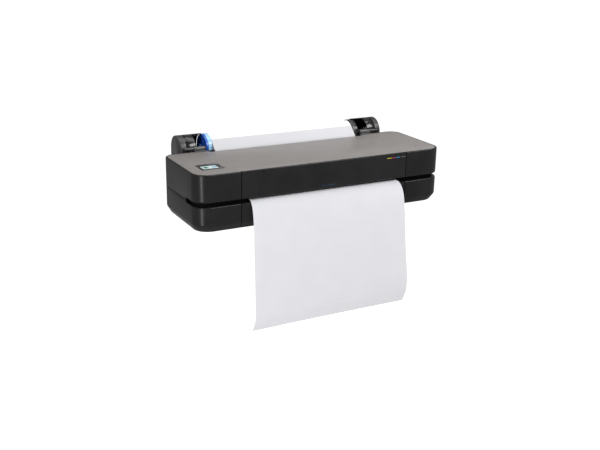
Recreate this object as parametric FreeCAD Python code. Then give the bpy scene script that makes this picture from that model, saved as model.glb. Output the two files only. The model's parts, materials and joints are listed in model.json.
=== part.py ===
import FreeCAD, Part
import os
from math import asin, cos, hypot, radians, sin

os.makedirs("parts", exist_ok=True)
V = FreeCAD.Vector
X_AXIS = V(1, 0, 0)
Y_AXIS = V(0, 1, 0)
Z_AXIS = V(0, 0, 1)

# Large format plotter, millimetres. X runs left to right, Y front to back, Z up.
# The origin is the centre of the four stand holes, on the underside of the feet.

# ---- Casing ----
WIDTH = 1013.0
BODY_DEPTH = 330.0
FOOT_HEIGHT = 20.0
LOWER_HEIGHT = 92.0
SLOT_HEIGHT = 16.0
UPPER_HEIGHT = 99.0
WALL = 3.0
FRONT_CORNER = 56.0
REAR_CORNER = 42.0
SKIRT_HEIGHT = 25.0
SKIRT_INSET = 14.0
LIP = 4.0
SEAM_GAP = 2.0
SEAM_STRAP = 14.0
SEAM_BEYOND_PAPER = 35.0
SLOT_DEPTH_FRONT = 18.0
SLOT_DEPTH_SIDE = 12.0
SLOT_WRAP = 100.0
SIDE_SEAM_HEIGHT = 10.0
SIDE_SEAM_GAP = 1.6
PAPER_SLOT_MARGIN = 8.0
SOCKETS_FROM_SIDE = ((126.5, 176.5), (76.5, 106.5))
SOCKETS_ABOVE_CASE = ((40.0, 60.0), (36.0, 60.0))
SOCKET_DEPTH = 24.0
SOCKET_RIMS = (3.0, 4.0)

# ---- Lid ----
PLATE_THICK = 3.0
PLATE_GAP = 1.0
RIM_WIDTH = 6.5
RIM_REAR_WIDTH = 7.5
RIM_THICK = 5.0
LID_FRAME_THICK = 5.0
LID_SKIN = 2.0
LID_POCKETS = 8
LID_RIB = 14.0
NOTCH_DEPTH = 27.0
HINGE_R = 8.0
HINGE_FROM_HOLDER = (7.0, 52.0, 94.0)
HINGE_LIFT = 0.5
HINGE_INSET = 3.0
HINGE_GAP = 0.5
HINGE_PIN_R = 2.5
HINGE_PIN_END = 6.0
HINGE_ARM_THICK = 2.4
HINGE_ARM_REACH = 8.0

# ---- Control panel on the lid ----
PANEL_FROM_SIDE = (50.5, 136.5)
PANEL_FROM_FRONT = (70.0, 142.0)
PANEL_PROUD = 0.3
SCREEN_FROM_SIDE = (61.5, 118.5)
SCREEN_FROM_FRONT = (83.0, 118.0)
SCREEN_THICK = 1.0
BUTTON_R = 4.0
BUTTON_PROUD = 0.5
BUTTON_GAP = 0.3
BUTTON_TRAVEL = 0.6

# ---- Marks on the lid's front ----
LIGHT_X = (-23.0, 35.0)
LIGHT_HEIGHT = 1.2
LIGHT_ABOVE_SLOT = 10.5
MARK_FROM_SEAM = ((86.0, 65.0), (63.0, 49.0), (47.0, 28.0), (22.0, 4.0))
MARK_HEIGHT = 2.4
MARK_BELOW_TOP = 16.0
MARK_PROUD = 0.3

# ---- Roll, its spindle and its holders ----
PAPER_WIDTH = 610.0
ROLL_R = 50.0
ROLL_ABOVE_LOWER = 113.0
CORE_R = 28.0
CORE_WALL = 2.6
SPINDLE_R = 9.0
SPINDLE_END_GAP = 2.0
HUB_LENGTH = 30.0
FLANGE_RISE = 3.0
FLANGE_THICK = 23.4
FLANGE_DISH = 3.5
FLANGE_RIM = 5.5
FLANGE_HUB_R = 28.0
FLANGE_GAP = 2.0
COLLAR_R = 16.0
COLLAR_LENGTH = 12.0
HOLDER_ROOM = 2.0
HOLDER_FROM_PAPER = 26.0
HOLDER_OPEN = 43.0
HOLDER_GROOVE = (73.0, 80.0)
HOLDER_LENGTH = 101.0
HOLDER_GROOVE_DEPTH = 3.0
HOLDER_BOTTOM_DROP = 75.0
HOLDER_WALL = 3.0
BUSH_R = 15.0
BUSH_LENGTH = 20.0
TRAY_GAP = 8.0
TRAY_WALL = 3.0
TRAY_ANGLES = (202.0, 335.0)
TRAY_END_GAP = 3.0

# ---- Paper, with its edges' drape given as (forward, up) from the slot's mouth ----
PAPER_THICK = 0.6
SHEET_THICK = 0.6
NIP_GAP = 0.3
SHEET_START = 22.0
SHEET_LEFT = ((SHEET_START, -0.2), (9.0, -1.0), (-3.0, -7.2), (-13.0, -24.0), (-20.0, -50.0),
              (-24.0, -80.0), (-27.0, -110.0), (-31.0, -198.0), (-37.0, -323.0), (-41.0, -400.0),
              (-38.0, -445.0), (-15.0, -492.0))
SHEET_RIGHT = ((SHEET_START, -0.2), (8.0, 0.6), (-11.0, -2.5), (-31.0, -17.0), (-46.0, -44.0),
               (-54.0, -78.0), (-61.0, -120.0), (-75.0, -219.0), (-92.0, -315.0), (-99.0, -360.0),
               (-96.0, -410.0), (-75.0, -460.0))
ENTRY_FROM_REAR = 15.0
ENTRY_HALF = 4.0
WEB_DIP = ((-3.0, -12.0), (-12.0, -38.0), (-28.0, -68.0))
WEB_BEND = (-47.0, 17.0)
WEB_LANDING = ((45.0, 5.0), (24.0, 0.6))

# ---- Steel frame ----
STEEL = 3.0
RUN = 0.05
PLATE_INSET = 21.5
SIDE_PLATE_FROM_FRONT = 42.0
SIDE_PLATE_FROM_REAR = 30.0
SIDE_PLATE_DROP = 22.0
SIDE_FOOT = 14.0
SIDE_FOOT_Y = 60.0
BEAM_FROM_REAR = 70.0
BEAM_ABOVE_WEB = 25.0
BEAM_FLANGE = 20.0
ROD_R = 6.0
ROD_BEFORE_BEAM = 35.0
ROD_ABOVE_WEB = 45.0
FRONT_BEAM_THICK = 2.0
FRONT_BEAM_REACH = (28.0, 16.0)
ENCODER_GAP = 5.6
ENCODER_THICK = 0.4
ENCODER_HEIGHT = 10.0
ENCODER_DROP = 6.0

# ---- Rollers, wheels and gears ----
SHAFT_R = 4.0
FEED_R = 12.0
FEED_BEFORE_BEAM = 60.0
DRUM_BEYOND_PAPER = 15.0
PINCH_R = 6.0
PINCH_SHAFT_R = 2.0
PINCH_COUNT = 6
PINCH_WIDTH = 20.0
PINCH_INSIDE_PAPER = 25.0
PINCH_ARM_FROM_PAPER = 7.0
PINCH_ARM_WIDTH = 5.0
PINCH_BAR_HEIGHT = 4.0
EXIT_R = 10.0
EXIT_FROM_FRONT = 53.0
EXIT_WIDTH = 24.0
STAR_R = 5.0
STAR_WIDTH = 2.0
STAR_COUNT = 10
STARS_INSIDE_PAPER = 17.0
GEAR_MODULE = 1.0
GEAR_TEETH = 60
PINION_TEETH = 15
GEAR_WIDTH = 6.0
GEAR_GAP = 3.0
TOOTH_SHAPE = ((-0.32, -1.3), (-0.15, 0.8), (0.15, 0.8), (0.32, -1.3))
FEED_MOTOR_R = 16.0
FEED_MOTOR_LENGTH = 50.0
MOTOR_SHAFT_DEPTH = 20.0
PLATEN_THICK = 18.0
PLATEN_RIBS = 17
PLATEN_RIB = 4.0
PLATEN_LEG = (40.0, 40.0)
PLATEN_GAP = 5.0

# ---- Carriage and its belt ----
BELT_FROM_BEAM = (13.0, 7.0)
BELT_THICK = 1.0
PULLEY_R = 8.0
PULLEY_FROM_PLATE = 23.0
PULLEY_ABOVE_WEB = 55.0
PULLEY_SHAFT_R = 2.5
PULLEY_CHEEK = 0.8
IDLER_BOSS = (14.0, 12.0)
MOTOR_R = 18.0
MOTOR_LENGTH = 48.0
CARRIAGE_FROM_SIDE = 106.5
CARRIAGE_WIDTH = 110.0
CARRIAGE_ABOVE_WEB = 4.0
CARRIAGE_DROP = 32.0
CARRIAGE_FRONT = 10.0
CARRIAGE_REAR = 15.0
CARRIAGE_NECK_LIFT = 26.0
SADDLE_HALF = 20.0
SADDLE_TOP = 25.0
BUSH_WALL = 2.0
SLIDE_BUSH_LENGTH = 15.0
BELT_TAB_HALF = 10.0
BELT_TAB_HEIGHT = 10.0
HEAD_PITCH = 50.0
HEAD_HALF = 20.0
HEAD_BEHIND_EXIT = 42.0
HEAD_BEFORE_FEED = 45.0
NOZZLE_HALF = 8.0
NOZZLE_MARGIN = 12.0
NOZZLE_PROUD = 1.5
CAP_HALF = 16.0
CAP_MARGIN = 4.0
CAP_HEIGHT = 14.0
STATION_BEYOND_HEADS = 14.0
STATION_HALF = 70.0
STATION_DROP = 16.0

# ---- Ink ----
CARTRIDGE_SIZE = (20.0, 56.0, 60.0)
CARTRIDGE_GAP = 0.5
CARTRIDGE_NAMES = ("yellow", "magenta", "cyan", "black")
BAY_FROM_SEAM = 90.0
BAY_WALL = 2.0
BAY_HEIGHT = 45.0
LID_SWING_ROOM = 3.0
GRIP_MARGIN = (4.0, 6.0)
GRIP_SIZE = (3.0, 2.0)

# ---- Electronics ----
BOARD_FROM_PLATE = (45.0, 165.0)
BOARD_THICK = 2.0
BOARD_STANDOFF = 14.0
BOARD_HEIGHT = 65.0
BOARD_DROP = 5.0
CHIP_SIZE = (24.0, 4.0, 30.0)
CHIP_PITCH = 36.0
CHIP_COUNT = 3
POST_SIZE = 8.0
POST_MARGIN = 10.0
SUPPLY_FROM_PLATE = (15.0, 145.0)
SUPPLY_LENGTH = 130.0
SUPPLY_HEIGHT = 72.0
SUPPLY_BEFORE_BEAM = 15.0

# ---- Stand holes, feet and screws ----
STAND_SPACING_X = 860.0
STAND_SPACING_Y = 120.0
STAND_HOLE_R = 3.3
RAIL_WIDTH = 50.0
RAIL_LENGTH = 150.0
PAD_R = 12.0
PAD_DEPTH = 2.0
FOOT_X = 250.0
FOOT_Y = 64.0
SCREW_R = 3.0
SCREW_HEAD = 1.6
SCREW_SOCKET_R = 1.2
SCREW_FROM_SIDE = 46.5
SCREW_COLUMNS = 5
SCREW_LIFTS = (40.0, 20.0)

# ---- Levels and faces that follow from these ----
HALF = WIDTH / 2
FRONT = -BODY_DEPTH / 2
REAR = BODY_DEPTH / 2
Z_CASE = FOOT_HEIGHT
Z_LOWER = Z_CASE + LOWER_HEIGHT
Z_UPPER = Z_LOWER + SLOT_HEIGHT
Z_TOP = Z_UPPER + UPPER_HEIGHT
Z_SIDE_SEAM = Z_LOWER + SIDE_SEAM_HEIGHT
Z_FLOOR = Z_CASE + WALL
Z_LID_UNDER = Z_TOP - PLATE_THICK - LID_FRAME_THICK
WRAP_Y = FRONT + SLOT_WRAP
PAPER_HALF = PAPER_WIDTH / 2
SEAM_X = PAPER_HALF + SEAM_BEYOND_PAPER
SOCKET_X = tuple((HALF - far, HALF - near) for near, far in SOCKETS_FROM_SIDE)
SOCKET_Z = tuple((Z_CASE + low, Z_CASE + high) for low, high in SOCKETS_ABOVE_CASE)
PANEL_X = tuple(x - HALF for x in PANEL_FROM_SIDE)
SCREEN_X = tuple(x - HALF for x in SCREEN_FROM_SIDE)
BUTTON_X = (SCREEN_X[1] + PANEL_X[1]) / 2
BUTTON_Y = FRONT + sum(SCREEN_FROM_FRONT) / 2
FLANGE_R = ROLL_R + FLANGE_RISE
HOLDER_R = FLANGE_R + HOLDER_ROOM
HOLDER_INNER_X = PAPER_HALF + HOLDER_FROM_PAPER
HOLDER_OPEN_X = HOLDER_INNER_X + HOLDER_OPEN
HOLDER_GROOVE_X = tuple(HOLDER_INNER_X + x for x in HOLDER_GROOVE)
HOLDER_OUTER_X = HOLDER_INNER_X + HOLDER_LENGTH
ROLL_Y = REAR + HOLDER_R
ROLL_Z = Z_LOWER + ROLL_ABOVE_LOWER
PLATE_REAR = REAR - RIM_REAR_WIDTH - PLATE_GAP
NOTCH_Y = REAR - NOTCH_DEPTH
HINGE_X = tuple(HOLDER_INNER_X + x for x in HINGE_FROM_HOLDER)
HINGE_Y = REAR - HINGE_INSET + HINGE_R
HINGE_Z = Z_TOP + HINGE_LIFT + HINGE_R
ENTRY_Y = REAR - ENTRY_FROM_REAR
WEB_Z = Z_LOWER + SLOT_HEIGHT / 2
WEB_UNDER = WEB_Z - PAPER_THICK / 2
WEB_OVER = WEB_Z + PAPER_THICK / 2
PLATE_X = HALF - PLATE_INSET
PLATE_OUTER_X = PLATE_X + STEEL
SIDE_PLATE_TOP = Z_TOP - SIDE_PLATE_DROP
BEAM_Y = REAR - BEAM_FROM_REAR
BEAM_Z = WEB_Z + BEAM_ABOVE_WEB
ROD_Y = BEAM_Y - ROD_BEFORE_BEAM
ROD_Z = WEB_Z + ROD_ABOVE_WEB
FEED_Y = BEAM_Y - FEED_BEFORE_BEAM
FEED_Z = WEB_UNDER - NIP_GAP - FEED_R
PINCH_Z = WEB_OVER + NIP_GAP + PINCH_R
EXIT_Y = FRONT + EXIT_FROM_FRONT
EXIT_Z = WEB_UNDER - NIP_GAP - EXIT_R
STAR_Z = WEB_OVER + NIP_GAP + STAR_R
FRONT_BEAM_Z = STAR_Z + STAR_R + FRONT_BEAM_THICK
FRONT_BEAM_TOP = FRONT_BEAM_Z + FRONT_BEAM_THICK
GEAR_R = GEAR_MODULE * GEAR_TEETH / 2
PINION_R = GEAR_MODULE * PINION_TEETH / 2
GEAR_X = PLATE_OUTER_X + GEAR_GAP
MOTOR_Y = FEED_Y + GEAR_R + PINION_R
BELT_Y = tuple(BEAM_Y - y for y in BELT_FROM_BEAM)
PULLEY_X = PLATE_X - PULLEY_FROM_PLATE
PULLEY_Z = WEB_Z + PULLEY_ABOVE_WEB
CARRIAGE_X = HALF - CARRIAGE_FROM_SIDE
CARRIAGE_LEFT = CARRIAGE_X - CARRIAGE_WIDTH / 2
CARRIAGE_RIGHT = CARRIAGE_X + CARRIAGE_WIDTH / 2
CARRIAGE_BOTTOM = WEB_Z + CARRIAGE_ABOVE_WEB
CARRIAGE_TOP = Z_TOP - CARRIAGE_DROP
HEAD_X = (CARRIAGE_X - HEAD_PITCH / 2, CARRIAGE_X + HEAD_PITCH / 2)
HEAD_FRONT = EXIT_Y + HEAD_BEHIND_EXIT
HEAD_REAR = FEED_Y - HEAD_BEFORE_FEED
PLATEN_TOP = WEB_UNDER - NIP_GAP
PLATEN_BASE_TOP = WEB_Z - 2 * PLATEN_GAP
PLATEN_BASE = PLATEN_BASE_TOP - PLATEN_THICK
BAY_X = SEAM_X - BAY_FROM_SEAM
BAY_Y = FRONT + SLOT_DEPTH_FRONT + LID_SWING_ROOM
CARTRIDGE_PITCH = CARTRIDGE_SIZE[0] + 2 * CARTRIDGE_GAP + BAY_WALL


# ---- Helpers ----
def box(x0, x1, y0, y1, z0, z1):
    return Part.makeBox(x1 - x0, y1 - y0, z1 - z0, V(x0, y0, z0))


def rod_x(x0, x1, y, z, r):
    return Part.makeCylinder(r, x1 - x0, V(x0, y, z), X_AXIS)


def rod_y(y0, y1, x, z, r):
    return Part.makeCylinder(r, y1 - y0, V(x, y0, z), Y_AXIS)


def rod_z(z0, z1, x, y, r):
    return Part.makeCylinder(r, z1 - z0, V(x, y, z0), Z_AXIS)


def ring_x(x0, x1, y, z, r_out, r_in):
    return rod_x(x0, x1, y, z, r_out).cut(rod_x(x0 - 1, x1 + 1, y, z, r_in))


def fuse(shapes):
    solid = shapes[0]
    for other in shapes[1:]:
        solid = solid.fuse(other)
    return solid.removeSplitter()


def group(shapes):
    return Part.makeCompound(shapes)


def save(name, shape):
    shape.exportStep("parts/" + name + ".step")


def outline(z, inset, side=None, rear=None):
    """Rounded plan outline of the body at height z, pulled in at the front, sides and rear."""
    side = inset if side is None else side
    rear = side if rear is None else rear
    r_front = FRONT_CORNER - max(inset, side)
    r_rear = REAR_CORNER - max(side, rear)
    x = HALF - side
    front = FRONT + inset
    rear = REAR - rear
    corners = ((-x, front, r_front), (x, front, r_front), (x, rear, r_rear), (-x, rear, r_rear))
    centres = []
    for cx, cy, r in corners:
        sx = 1 if cx > 0 else -1
        sy = 1 if cy > 0 else -1
        centres.append((cx - sx * r, cy - sy * r, r))
    starts = (180, 270, 0, 90)
    ends = []
    edges = []
    for (cx, cy, r), start in zip(centres, starts):
        points = []
        for angle in (start, start + 45, start + 90):
            points.append(V(cx + r * cos(radians(angle)), cy + r * sin(radians(angle)), z))
        ends.append((points, Part.Arc(*points).toShape()))
    for index, (points, arc) in enumerate(ends):
        edges.append(arc)
        edges.append(Part.makeLine(points[2], ends[(index + 1) % 4][0][0]))
    return Part.Wire(edges)


def prism(z0, z1, inset, side=None, rear=None):
    face = Part.Face(outline(z0, inset, side, rear))
    return face.extrude(V(0, 0, z1 - z0))


def flare(z0, inset0, z1, inset1):
    return Part.makeLoft([outline(z0, inset0), outline(z1, inset1)], True, True)


def mirror_x(shape):
    return shape.mirror(V(0, 0, 0), X_AXIS)


def both_sides(shape):
    return group([shape, mirror_x(shape)])


# ---- Lower casing ----
def lower_shell():
    skirt = flare(Z_CASE, SKIRT_INSET, Z_CASE + SKIRT_HEIGHT, 0)
    wall = prism(Z_CASE + SKIRT_HEIGHT, Z_LOWER - LIP, 0)
    lip = flare(Z_LOWER - LIP, 0, Z_LOWER, LIP)
    sides = prism(Z_LOWER - LIP, Z_SIDE_SEAM - SIDE_SEAM_GAP / 2, 0)
    sides = sides.common(box(-HALF, HALF, WRAP_Y, REAR, Z_CASE, Z_TOP))
    outer = fuse([skirt, wall, lip, sides])
    hollow = flare(Z_FLOOR, SKIRT_INSET + WALL, Z_CASE + SKIRT_HEIGHT, WALL)
    hollow = fuse([hollow, prism(Z_CASE + SKIRT_HEIGHT, Z_LOWER - WALL, WALL)])
    throat = prism(Z_LOWER - WALL, Z_TOP, SLOT_DEPTH_FRONT, SLOT_DEPTH_SIDE)
    side_room = prism(Z_LOWER - WALL, Z_TOP, WALL)
    side_room = side_room.common(box(-HALF, HALF, WRAP_Y + WALL, REAR, Z_CASE, Z_TOP))
    return outer.cut(fuse([hollow, throat, side_room]))


def lower_parts():
    shell = lower_shell()
    front_zone = box(-SEAM_X, SEAM_X, FRONT - 1, FRONT + SLOT_DEPTH_FRONT, 0, Z_LOWER + 1)
    panel_zone = box(-SEAM_X + SEAM_GAP, SEAM_X - SEAM_GAP, FRONT - 1, FRONT + SLOT_DEPTH_FRONT,
                     0, Z_LOWER + 1)
    strap = box(SEAM_X - SEAM_STRAP, SEAM_X + SEAM_STRAP, FRONT + WALL, FRONT + 2 * WALL,
                Z_CASE + SKIRT_HEIGHT, Z_LOWER - WALL)
    case = fuse([shell.cut(front_zone), strap, mirror_x(strap)])
    panel = shell.common(panel_zone)
    for (x0, x1), (z0, z1) in zip(SOCKET_X, SOCKET_Z):
        gap = BUTTON_GAP
        case = case.cut(box(x0 - gap, x1 + gap, REAR - 2 * WALL, REAR + 1, z0 - gap, z1 + gap))
    return case, panel


def rear_sockets():
    """Connector blocks in the rear wall, with their mouths facing back."""
    blocks = []
    for (x0, x1), (z0, z1), rim in zip(SOCKET_X, SOCKET_Z, SOCKET_RIMS):
        block = box(x0, x1, REAR - SOCKET_DEPTH, REAR + MARK_PROUD, z0, z1)
        mouth = box(x0 + rim, x1 - rim, REAR - SOCKET_DEPTH / 2, REAR + 1, z0 + rim, z1 - rim)
        blocks.append(block.cut(mouth))
    return group(blocks)


def slot_liner():
    """Black wall at the back of the slot, open in the middle for the paper."""
    ring = prism(Z_LOWER - WALL, Z_UPPER + WALL, SLOT_DEPTH_FRONT, SLOT_DEPTH_SIDE)
    inside = prism(Z_LOWER - WALL - 1, Z_UPPER + WALL + 1, SLOT_DEPTH_FRONT + WALL, SLOT_DEPTH_SIDE + WALL)
    ring = ring.cut(inside)
    ring = ring.common(box(-HALF, HALF, FRONT, WRAP_Y + WALL, 0, Z_TOP))
    half = PAPER_HALF + PAPER_SLOT_MARGIN
    return ring.cut(box(-half, half, FRONT, 0, Z_LOWER, Z_UPPER))


# ---- Upper casing ----
def upper_shell():
    foot = flare(Z_UPPER, LIP, Z_UPPER + LIP, 0)
    wall = prism(Z_UPPER + LIP, Z_TOP - LIP, 0)
    rim = flare(Z_TOP - LIP, 0, Z_TOP, LIP)
    sides = prism(Z_SIDE_SEAM + SIDE_SEAM_GAP / 2, Z_UPPER + LIP, 0)
    sides = sides.common(box(-HALF, HALF, WRAP_Y, REAR, Z_CASE, Z_TOP))
    outer = fuse([foot, wall, rim, sides])
    hollow = prism(Z_UPPER + WALL, Z_TOP - RIM_THICK, WALL)
    opening = prism(Z_TOP - RIM_THICK, Z_TOP + 1, RIM_WIDTH, RIM_WIDTH, RIM_REAR_WIDTH)
    throat = prism(Z_LOWER, Z_UPPER + WALL, SLOT_DEPTH_FRONT, SLOT_DEPTH_SIDE)
    side_room = prism(Z_LOWER, Z_UPPER + WALL, WALL)
    side_room = side_room.common(box(-HALF, HALF, WRAP_Y + WALL, REAR, Z_CASE, Z_TOP))
    return outer.cut(fuse([hollow, opening, throat, side_room]))


def upper_parts(shell):
    inner = Z_TOP - RIM_THICK
    right_zone = box(SEAM_X + SEAM_GAP / 2, HALF, FRONT, REAR, Z_LOWER, Z_TOP)
    strap = box(SEAM_X + SEAM_GAP / 2, SEAM_X + SEAM_STRAP, REAR - 2 * WALL, REAR - WALL, Z_SIDE_SEAM, inner)
    right = fuse([shell.common(right_zone), strap])
    front_zone = box(-SEAM_X + SEAM_GAP / 2, SEAM_X - SEAM_GAP / 2, FRONT, 0, Z_LOWER, Z_TOP)
    front = shell.common(front_zone)
    slot = box(LIGHT_X[0], LIGHT_X[1], FRONT - 1, FRONT + WALL + 1,
               Z_UPPER + LIGHT_ABOVE_SLOT, Z_UPPER + LIGHT_ABOVE_SLOT + LIGHT_HEIGHT)
    return right, mirror_x(right), front.cut(slot)


def rear_cover(shell):
    """Middle of the rear wall, with the deck that holds the paper's entry slot."""
    zone = box(-SEAM_X, SEAM_X, 0, REAR, Z_LOWER, Z_TOP)
    deck_top = Z_TOP - LIP
    half = HOLDER_INNER_X - PLATE_GAP
    deck = box(-half, half, NOTCH_Y + PLATE_GAP, REAR - WALL, deck_top - WALL, deck_top)
    slot_half = PAPER_HALF + PAPER_SLOT_MARGIN
    mouth = box(-slot_half, slot_half, ENTRY_Y - ENTRY_HALF, ENTRY_Y + ENTRY_HALF, Z_UPPER, Z_TOP)
    rear_rim_cut = box(-half, half, ENTRY_Y - ENTRY_HALF, REAR - WALL, deck_top, Z_TOP + 1)
    return fuse([shell.common(zone).cut(rear_rim_cut), deck]).cut(mouth)



# ---- Lid ----
def plate_blank(z0, z1):
    side = RIM_WIDTH + PLATE_GAP
    blank = prism(z0, z1, side, side, RIM_REAR_WIDTH + PLATE_GAP)
    notch = box(-HOLDER_INNER_X, HOLDER_INNER_X, NOTCH_Y, REAR, z0 - 1, z1 + 1)
    return blank.cut(notch)


def panel_box(grow, z0, z1):
    y0 = FRONT + PANEL_FROM_FRONT[0] - grow
    y1 = FRONT + PANEL_FROM_FRONT[1] + grow
    return box(PANEL_X[0] - grow, PANEL_X[1] + grow, y0, y1, z0, z1)


def top_plate():
    plate = plate_blank(Z_TOP - PLATE_THICK, Z_TOP)
    return plate.cut(panel_box(BUTTON_GAP, Z_TOP - PLATE_THICK - 1, Z_TOP + 1))


def lid_frame():
    """Ribbed frame under the plate, with the flange that carries the lid's front."""
    z_top = Z_TOP - PLATE_THICK
    frame = plate_blank(Z_LID_UNDER, z_top)
    span = 2 * (HALF - RIM_WIDTH - FRONT_CORNER)
    pitch = span / LID_POCKETS
    for index in range(LID_POCKETS):
        x0 = -span / 2 + index * pitch + LID_RIB / 2
        pocket = box(x0, x0 + pitch - LID_RIB, FRONT + 2 * LID_RIB, NOTCH_Y - LID_RIB,
                     Z_LID_UNDER - 1, z_top - LID_SKIN)
        frame = frame.cut(pocket)
    flange = box(-SEAM_X + SEAM_STRAP, SEAM_X - SEAM_STRAP, FRONT + WALL, FRONT + LID_RIB + WALL,
                 Z_TOP - RIM_THICK - 2 * WALL, Z_TOP - RIM_THICK)
    frame = frame.cut(rod_z(Z_LID_UNDER - 1, z_top + 1, BUTTON_X, BUTTON_Y, BUTTON_R + BUTTON_GAP))
    return fuse([frame, flange])


def control_panel():
    top = Z_TOP + PANEL_PROUD
    bezel = panel_box(0, Z_TOP - PLATE_THICK, top)
    seat = screen_box(BUTTON_GAP, top - SCREEN_THICK - BUTTON_GAP, top + 1)
    bore = rod_z(Z_LID_UNDER, top + 1, BUTTON_X, BUTTON_Y, BUTTON_R + BUTTON_GAP)
    screen = screen_box(0, top - SCREEN_THICK - BUTTON_GAP, top - BUTTON_GAP)
    button = rod_z(Z_LID_UNDER + BUTTON_TRAVEL, top + BUTTON_PROUD, BUTTON_X, BUTTON_Y, BUTTON_R)
    return bezel.cut(seat).cut(bore), screen, button


def screen_box(grow, z0, z1):
    y0 = FRONT + SCREEN_FROM_FRONT[0] - grow
    y1 = FRONT + SCREEN_FROM_FRONT[1] + grow
    return box(SCREEN_X[0] - grow, SCREEN_X[1] + grow, y0, y1, z0, z1)


def light_bar():
    z0 = Z_UPPER + LIGHT_ABOVE_SLOT
    return box(LIGHT_X[0], LIGHT_X[1], FRONT - MARK_PROUD, FRONT + WALL, z0, z0 + LIGHT_HEIGHT)


def ink_marks():
    z0 = Z_TOP - MARK_BELOW_TOP - MARK_HEIGHT / 2
    marks = []
    for start, end in MARK_FROM_SEAM:
        marks.append(box(SEAM_X - start, SEAM_X - end, FRONT - MARK_PROUD, FRONT, z0, z0 + MARK_HEIGHT))
    return group(marks)


# ---- Roll holders ----
def arch(x0, x1, r, y_front, z_low):
    top = rod_x(x0, x1, ROLL_Y, ROLL_Z, r)
    leg = box(x0, x1, y_front, ROLL_Y + r, z_low, ROLL_Z)
    return fuse([top, leg])


def roll_holder():
    """Right holder: an arched housing, open to the roll, on the rear wall."""
    z_low = ROLL_Z - HOLDER_BOTTOM_DROP
    y_front = REAR
    cap_x = HOLDER_GROOVE_X[1]
    body = arch(HOLDER_OPEN_X, cap_x, HOLDER_R, y_front, z_low)
    groove = arch(HOLDER_GROOVE_X[0], cap_x, HOLDER_R + 1, y_front - 1, z_low - 1)
    groove = groove.cut(arch(HOLDER_GROOVE_X[0] - 1, cap_x + 1, HOLDER_R - HOLDER_GROOVE_DEPTH,
                             y_front, z_low - 2))
    cavity_r = HOLDER_R - HOLDER_GROOVE_DEPTH - HOLDER_WALL
    cavity = arch(HOLDER_OPEN_X - 1, HOLDER_GROOVE_X[0], cavity_r, y_front + HOLDER_WALL, z_low + HOLDER_WALL)
    seat = rod_x(HOLDER_OPEN_X, HOLDER_OUTER_X, ROLL_Y, ROLL_Z, BUSH_R)
    hood = arch(HOLDER_INNER_X, HOLDER_OPEN_X, HOLDER_R, y_front, z_low)
    hood = hood.cut(arch(HOLDER_INNER_X - 1, HOLDER_OPEN_X + 1, HOLDER_R - HOLDER_WALL,
                         y_front - HOLDER_WALL, z_low + HOLDER_WALL))
    front_cut = box(HOLDER_INNER_X - 1, HOLDER_OPEN_X, REAR - 1, ROLL_Y,
                    ROLL_Z - HOLDER_R / 2, ROLL_Z + 2 * HOLDER_R)
    return fuse([body.cut(groove).cut(cavity).cut(seat), hood.cut(front_cut)]).cut(hinge_room())


def holder_cap():
    cap = arch(HOLDER_GROOVE_X[1], HOLDER_OUTER_X, HOLDER_R, REAR, ROLL_Z - HOLDER_BOTTOM_DROP)
    return cap.cut(cap_hollow()).cut(hinge_room())


def cap_hollow():
    z_low = ROLL_Z - HOLDER_BOTTOM_DROP + HOLDER_WALL
    x1 = HOLDER_OUTER_X - HOLDER_WALL
    return arch(HOLDER_GROOVE_X[1] - 1, x1, HOLDER_R - HOLDER_WALL, REAR + HOLDER_WALL, z_low)


def spindle_bush():
    x1 = HOLDER_GROOVE_X[1]
    x0 = x1 - BUSH_LENGTH
    return ring_x(x0, x1, ROLL_Y, ROLL_Z, BUSH_R, SPINDLE_R + RUN)


def hinge_knuckle():
    """Moving half of the right lid hinge: a rounded barrel on an arm that lies on the plate."""
    x0, x1, _ = HINGE_X
    eye = rod_x(x0, x1 - HINGE_GAP, HINGE_Y, HINGE_Z, HINGE_R)
    low = Z_TOP + HINGE_LIFT
    arm = box(x0, x1 - HINGE_GAP, PLATE_REAR - HINGE_ARM_REACH, HINGE_Y, low, low + HINGE_ARM_THICK)
    foot = box(x0, x1 - HINGE_GAP, PLATE_REAR - HINGE_ARM_REACH, PLATE_REAR, Z_TOP, low + HINGE_ARM_THICK)
    return fuse([eye, arm, foot]).cut(rod_x(x0 - 1, x1 + 1, HINGE_Y, HINGE_Z, HINGE_PIN_R))


def hinge_barrel():
    """Fixed half of the right lid hinge, a rounded ledge in front of the roll holder."""
    _, x1, x2 = HINGE_X
    barrel = rod_x(x1, x2, HINGE_Y, HINGE_Z, HINGE_R)
    return barrel.cut(rod_x(x1 - 1, x2 - HINGE_PIN_END, HINGE_Y, HINGE_Z, HINGE_PIN_R + RUN))


def hinge_pin():
    end = HINGE_X[2] - HINGE_PIN_END - HINGE_GAP
    return rod_x(HINGE_X[0] + HINGE_PIN_END, end, HINGE_Y, HINGE_Z, HINGE_PIN_R)


def hinge_room():
    """Space that the right hinge takes out of the holder and its cap."""
    x0, x1, x2 = HINGE_X
    room = HINGE_R + 2 * HINGE_GAP
    moving = rod_x(HOLDER_INNER_X - 1, x1, HINGE_Y, HINGE_Z, room)
    arm = box(x0 - HINGE_GAP, x1, REAR - 1, HINGE_Y, Z_TOP, HINGE_Z)
    return fuse([moving, arm, rod_x(x1, x2, HINGE_Y, HINGE_Z, HINGE_R)])


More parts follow.
